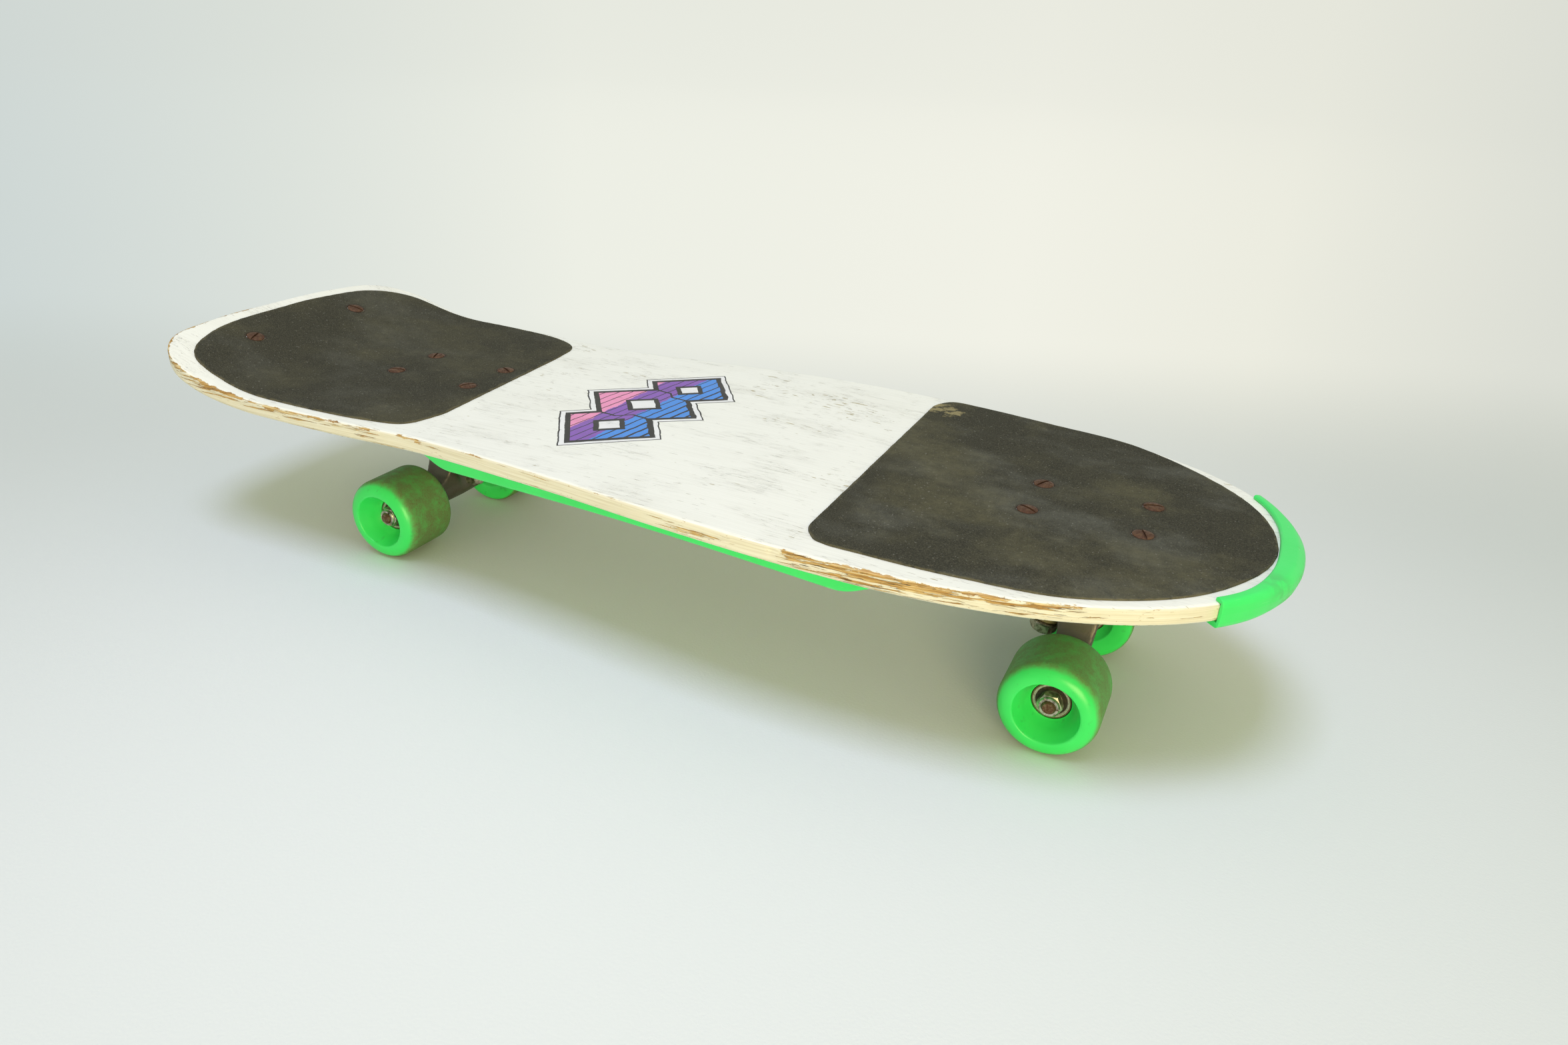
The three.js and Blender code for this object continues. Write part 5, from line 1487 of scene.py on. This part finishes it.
@dataclass
class Truck:
    """One truck: riser, baseplate, kingpin stack, hanger and axle."""

    place: TruckPlace
    kingpin_x: float = -5
    kingpin_tilt: float = math.radians(10)
    pivot_x: float = 20
    pivot_depth: float = 13
    pivot_angle: float = math.radians(36.2677)
    height: float = 65
    axle_offset: float = 5.6
    axle_reach: float = 73.7

    def __post_init__(self) -> None:
        """Works out the lies of the kingpin, the pivot and the axle."""
        self.on_kingpin = self.place.lie @ shift(self.kingpin_x, 0, 0) @ turn("Y", math.pi + self.kingpin_tilt)
        lean = math.pi / 2 - self.pivot_angle
        self.on_pivot = self.place.lie @ shift(self.pivot_x, 0, -self.pivot_depth) @ turn("Y", math.pi + lean)
        self.on_axle = self.place.lie @ shift(self.axle_offset, 0, -self.height) @ turn("X", -math.pi / 2)

    def add(self, solid: Solid, node: str, kind: str, body: str, finish: Finish,
            crease: float = 0.55) -> bpy.types.Object:
        """Finishes a piece that stands for a node of this truck."""
        name = f"{self.place.name}_{node}"
        return solid.piece(f"{name}_{kind}", body, finish, name, crease=crease)

    def build(self) -> None:
        """Makes every piece of the truck."""
        moving = f"{self.place.name}_truck"
        self.make_riser()
        self.make_castings(moving)
        self.make_stack()
        self.make_axle(moving)
        seat = BOLT_SEAT + BOARD.thickness + RISER_THICKNESS
        for i, (x, y) in enumerate(Hardware.bolt_places()):
            bolt = Hardware.slotted_bolt(seat + PLATE_THICKNESS + BOLT_GAP, Hardware.slot_turns[i] * math.pi)
            bolt.moved(self.place.lie @ shift(x, y, seat))
            self.add(bolt, f"bolt_{i + 1}", "slotted", "board", Finishes.rusty, 0.5)

    def make_riser(self) -> None:
        """The riser pad: a thick rubber block with rounded corners and softened edges."""
        x, y, corner = 41.0, 29.0, 9.5
        outline = filleted([(-x, -y), (x, -y), (x, y), (-x, y)], [corner] * 4, 10, True)
        solid = Solid.prism(outline, 0, RISER_THICKNESS)
        solid.bevelled(solid.sharp_edges(1.2), 0.7, 3)
        self.add(solid.moved(self.place.lie), "riser", "pad", "board", Finishes.rubber, 0.8)

    def make_castings(self, moving: str) -> None:
        """The baseplate and hanger: the frame's solids under one soft cast skin."""
        name = self.place.name
        plate = Solid.of_node(f"{name}_baseplate").cast(0.8, 7)
        self.add(plate, "baseplate", "casting", "board", Finishes.casting, 1.2)
        hanger = Solid.of_node(f"{name}_hanger").cast(0.8, 10)
        self.add(hanger, "hanger", "casting", moving, Finishes.casting, 1.2)

    def make_stack(self) -> None:
        """The kingpin and what it clamps, from the plate down to the nut."""
        thread = Hardware.thread(4.75, 44, 60.6, 1.4, 0.35)
        pin = [(0, 2), (7.9, 2), (8.2, 2.4), (8.2, 6.8), (7.9, 7.2), (4.75, 7.2)]
        pin += thread + [(3.9, 61.2), (0, 61.2)]
        self.add(Solid.lathe(pin, 40).moved(self.on_kingpin), "kingpin", "bolt", "board", Finishes.plated)
        nut = Hardware.hex_prism(14.3, 52.805, 59.205, 0.8)
        nut.carved(Solid.lathe([(0, 50), (5.0, 50), (5.0, 62), (0, 62)], 32))
        self.add(nut.moved(self.on_kingpin), "kingpin_nut", "hexagon", "board", Finishes.plated)
        for node, low in (("cup_washer_top", 18.055), ("cup_washer_low", 50.755)):
            washer = [(5.1, low), (10.1, low), (10.6, low + 0.4), (10.6, low + 1.4), (10.1, low + 1.8),
                      (5.1, low + 1.8)]
            solid = Solid.lathe(washer, 40, ring=True)
            self.add(solid.moved(self.on_kingpin), node, "disc", "board", Finishes.plated)
        barrel = filleted(
            [(5.1, 20.105), (11, 20.105), (10.2, 23.2), (9.8, 26.1), (10.2, 29), (11, 32.105), (5.1, 32.105)],
            [0.4, 1.4, 2, 4, 2, 1.4, 0.4], 4, True)
        cone = filleted(
            [(5.1, 41.005), (11, 41.005), (11, 42.6), (9, 50.505), (5.1, 50.505)],
            [0.4, 1.0, 1.5, 1.2, 0.4], 4, True)
        for node, profile, seat in (("bushing_top", barrel, 20.105), ("bushing_low", cone, 50.505)):
            solid = Solid.lathe(profile, 48, ring=True).moved(self.on_kingpin)
            made = self.add(solid, node, "cushion", "board", Finishes.bushing)
            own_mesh(made)
        cup = filleted(
            [(0, -6.7), (7.7, -6.7), (7.7, 5), (5.7, 5), (5.7, 0), (4.03, -4.03), (0, -5.7)],
            [0, 1.2, 0.5, 0.4, 0.8, 1.2, 0], 4)
        self.add(Solid.lathe(cup, 40).moved(self.on_pivot), "pivot_cup", "thimble", "board", Finishes.cup)

    def make_axle(self, moving: str) -> None:
        """The axle, threaded at both ends."""
        end = self.axle_reach
        upper = Hardware.thread(4, end - 14, end - 0.8, 1.25, 0.28)
        half = [(0, end), (3.2, end)] + upper[::-1]
        low = [(radius, -height) for radius, height in reversed(half)]
        self.add(Solid.lathe(half + low, 36).moved(self.on_axle), "axle", "rod", moving, Finishes.axle)


@dataclass
class Wheel:
    """One wheel with its bearing pair and axle nut."""

    truck: Truck
    side: str
    radius: float = 28.64
    outer_face: float = 80.1
    width: float = 43.5
    outer_round: float = 8.6
    inner_round: float = 4.5
    steps: int = 88

    def build(self) -> None:
        """Makes the tyre, the bearings and the nut."""
        flip = -1 if self.truck.place.turn else 1
        sign = flip * (1 if self.side == "left" else -1)
        lie = self.truck.on_axle if sign > 0 else self.truck.on_axle @ turn("X", math.pi)
        name = self.truck.place.name
        body = f"{name}_wheel_{self.side}"
        finish = Finishes.wheel_front if name == "front" else Finishes.wheel_rear
        tyre = self.tyre()
        tyre.marked("radius", lambda point: math.hypot(point.x, point.y))
        tyre.marked("depth", lambda point: self.outer_face - point.z)
        tyre.moved(lie).piece(f"{body}_tyre", body, finish, body, crease=0.7)
        race = self.bearings()
        race.marked("radius", lambda point: math.hypot(point.x, point.y))
        node = f"{name}_bearings_{self.side}"
        race.moved(lie).piece(f"{node}_pair", body, Finishes.bearing, node, crease=0.5)
        nut = self.nut().moved(lie)
        node = f"{name}_axle_nut_{self.side}"
        nut.piece(f"{node}_locking", f"{name}_truck", Finishes.plated, node, crease=0.5)

    def tyre(self) -> Solid:
        """The tyre: a big outer round, a conical recess and seats for the bearings."""
        outer, inner = self.outer_face, self.outer_face - self.width
        big, small = self.outer_round, self.inner_round
        arc = [(self.radius - big + big * math.cos(a), outer - big + big * math.sin(a))
               for a in (mix(math.pi / 2, 0, k / 14) for k in range(15))]
        back = [(self.radius - small + small * math.cos(a), inner + small + small * math.sin(a))
                for a in (mix(0, -math.pi / 2, k / 9) for k in range(10))]
        mouth = [(11.4, 65.2), (12.4, 66.0), (14.4, 70.6), (16.4, 75.0), (18.1, 78.6), (18.5, outer - 0.5),
                 (18.9, outer - 0.12), (19.6, outer)]
        tread = [(self.radius, mix(outer - big, inner + small, k / 6)) for k in range(1, 6)]
        low = [(17.0, inner), (16.3, inner + 0.4), (15.9, inner + 1.2), (11.4, 41.2)]
        core = [(11.4, 48.3), (9.8, 48.3), (9.8, 58.1), (11.4, 58.1)]
        return Solid.lathe(mouth + arc + tread + back + low + core, self.steps, ring=True)

    @staticmethod
    def bearings() -> Solid:
        """Two shielded ball bearings with the sleeve between them."""
        bore, outer, inner = 4.15, 65.2, 41.2
        return Solid.lathe([
            (bore, inner), (6.2, inner), (6.2, inner + 0.5), (9.5, inner + 0.5), (9.5, inner), (10.8, inner),
            (11, inner + 0.2), (11, inner + 7), (5.6, inner + 7), (5.6, outer - 7), (11, outer - 7),
            (11, outer - 0.25), (10.75, outer), (9.6, outer), (9.45, outer - 0.2), (9.1, outer - 0.25),
            (9.0, outer - 0.6), (6.6, outer - 0.5), (6.5, outer - 0.8), (6.25, outer - 0.8),
            (6.2, outer - 0.12), (6.0, outer), (bore + 0.2, outer), (bore, outer - 0.2)], 64, ring=True)

    @staticmethod
    def nut() -> Solid:
        """A hexagon nut with a crimped locking collar."""
        solid = Hardware.hex_prism(12.7, 65.8, 71.0, 0.7)
        collar = Solid.lathe([(0, 70.6), (6.05, 70.6), (6.05, 71.5), (5.5, 72.25), (4.5, 72.3), (0, 72.3)], 48)
        for k in range(3):
            notch = Solid.prism([(-0.5, 3), (0.5, 3), (0.5, 8), (-0.5, 8)], 71.6, 74)
            collar.carved(notch.moved(turn("Z", k * TAU / 3 + 0.5)))
        solid.carved(collar, operation="UNION")
        return solid.carved(Solid.lathe([(0, 60), (4.12, 60), (4.12, 76), (0, 76)], 32))


class Tint(Enum):
    """The tints of the studio lamps."""

    COOL = (0.64, 0.68, 1.0)
    WARM = (1.0, 0.84, 0.46)
    CREAM = (0.98, 0.99, 0.78)


@dataclass(frozen=True)
class Lamp:
    """A square lamp: its tint, power in watts, side in metres and place."""

    name: str
    tint: Tint
    power: float
    size: float
    place: tuple[float, float, float]


@dataclass
class Studio:
    """Floor, sweep, lamps and camera."""

    lamps: tuple[Lamp, ...] = (
        Lamp("key", Tint.COOL, 27, 0.75, (0.0, -0.65, 2.1)),
        Lamp("fill", Tint.WARM, 22, 0.9, (1.1, -1.65, 0.45)))
    aim: tuple[float, float, float] = (0.05, 0, 0.05)
    ambient: float = 0.61
    ground: Colour = srgb(219, 222, 214)
    floor_radius: float = 5.0
    sweep_radius: float = 3.0
    camera_place: tuple[float, float, float] = (0.3235, -0.5805, 0.3671)
    lens: float = 24.715
    yaw: float = 0.4139
    pitch: float = 0.4475
    roll: float = 0.0531

    def build(self) -> None:
        """Makes the whole studio."""
        self.make_sweep()
        for lamp in self.lamps:
            self.hang(lamp)
        self.make_world()
        self.make_camera()

    def make_sweep(self) -> None:
        """A floor that curves up all round, far from the object."""
        profile = [(radius, 0) for radius in (0, 0.6, 1.2, 2.4, self.floor_radius)]
        for k in range(1, 13):
            angle = k / 12 * math.pi / 2
            out, up = math.sin(angle), 1 - math.cos(angle)
            profile.append((self.floor_radius + self.sweep_radius * out, self.sweep_radius * up))
        sweep = Solid.lathe([(radius / MM, height / MM) for radius, height in profile], 96)
        bmesh.ops.transform(sweep.mesh, matrix=Matrix.Scale(MM, 4), verts=sweep.mesh.verts)
        if sum(face.normal.z for face in sweep.mesh.faces) < 0:
            bmesh.ops.reverse_faces(sweep.mesh, faces=sweep.mesh.faces)
        data = bpy.data.meshes.new("studio_sweep")
        for face in sweep.mesh.faces:
            face.smooth = True
        sweep.mesh.to_mesh(data)
        sweep.mesh.free()
        data.materials.append(Finishes.sweep.material())
        floor = bpy.data.objects.new("studio_sweep", data)
        bpy.context.scene.collection.objects.link(floor)

    def hang(self, lamp: Lamp) -> None:
        """Hangs a lamp that faces the board."""
        light = bpy.data.lights.new(lamp.name, "AREA")
        light.energy, light.size, light.color = lamp.power, lamp.size, lamp.tint.value
        hung = bpy.data.objects.new(lamp.name, light)
        hung.location = lamp.place
        hung.rotation_euler = (Vector(self.aim) - Vector(lamp.place)).to_track_quat("-Z", "Y").to_euler()
        bpy.context.scene.collection.objects.link(hung)

    def make_world(self) -> None:
        """A faint even light from all round, which the camera sees as the pale ground above the sweep."""
        world = bpy.data.worlds.new("studio")
        world.use_nodes = True
        nodes = Nodes(world.node_tree)
        sky = nodes.node("ShaderNodeBackground", {}, {
            "Color": (*Tint.CREAM.value, 1), "Strength": self.ambient})
        pale = nodes.node("ShaderNodeBackground", {}, {"Color": self.ground})
        seen = nodes.node("ShaderNodeLightPath").outputs["Is Camera Ray"]
        either = nodes.node("ShaderNodeMixShader", {}, {0: seen, 1: sky.outputs[0], 2: pale.outputs[0]})
        nodes.node("ShaderNodeOutputWorld", {}, {"Surface": either.outputs[0]})
        bpy.context.scene.world = world

    def make_camera(self) -> None:
        """The camera, as it stood for the photograph."""
        data = bpy.data.cameras.new("photo_camera")
        data.lens, data.sensor_width, data.clip_end = self.lens, 36, 50
        camera = bpy.data.objects.new("photo_camera", data)
        aim = turn("Z", self.yaw) @ turn("X", math.pi / 2 - self.pitch) @ turn("Z", self.roll)
        camera.matrix_world = Matrix.Translation(self.camera_place) @ aim
        bpy.context.scene.collection.objects.link(camera)
        bpy.context.scene.camera = camera
        bpy.context.scene.view_settings.view_transform = "Standard"


def main() -> None:
    """Builds the skateboard in the order of its assembly, then the studio."""
    logging.basicConfig(level=logging.INFO, format="%(message)s")
    Deck().build()
    NoseGuard().build()
    Rails().build()
    Skid().build()
    for place in TRUCKS.values():
        truck = Truck(place)
        truck.build()
        for side in ("left", "right"):
            Wheel(truck, side).build()
    Studio().build()


if __name__ == "__main__":
    main()
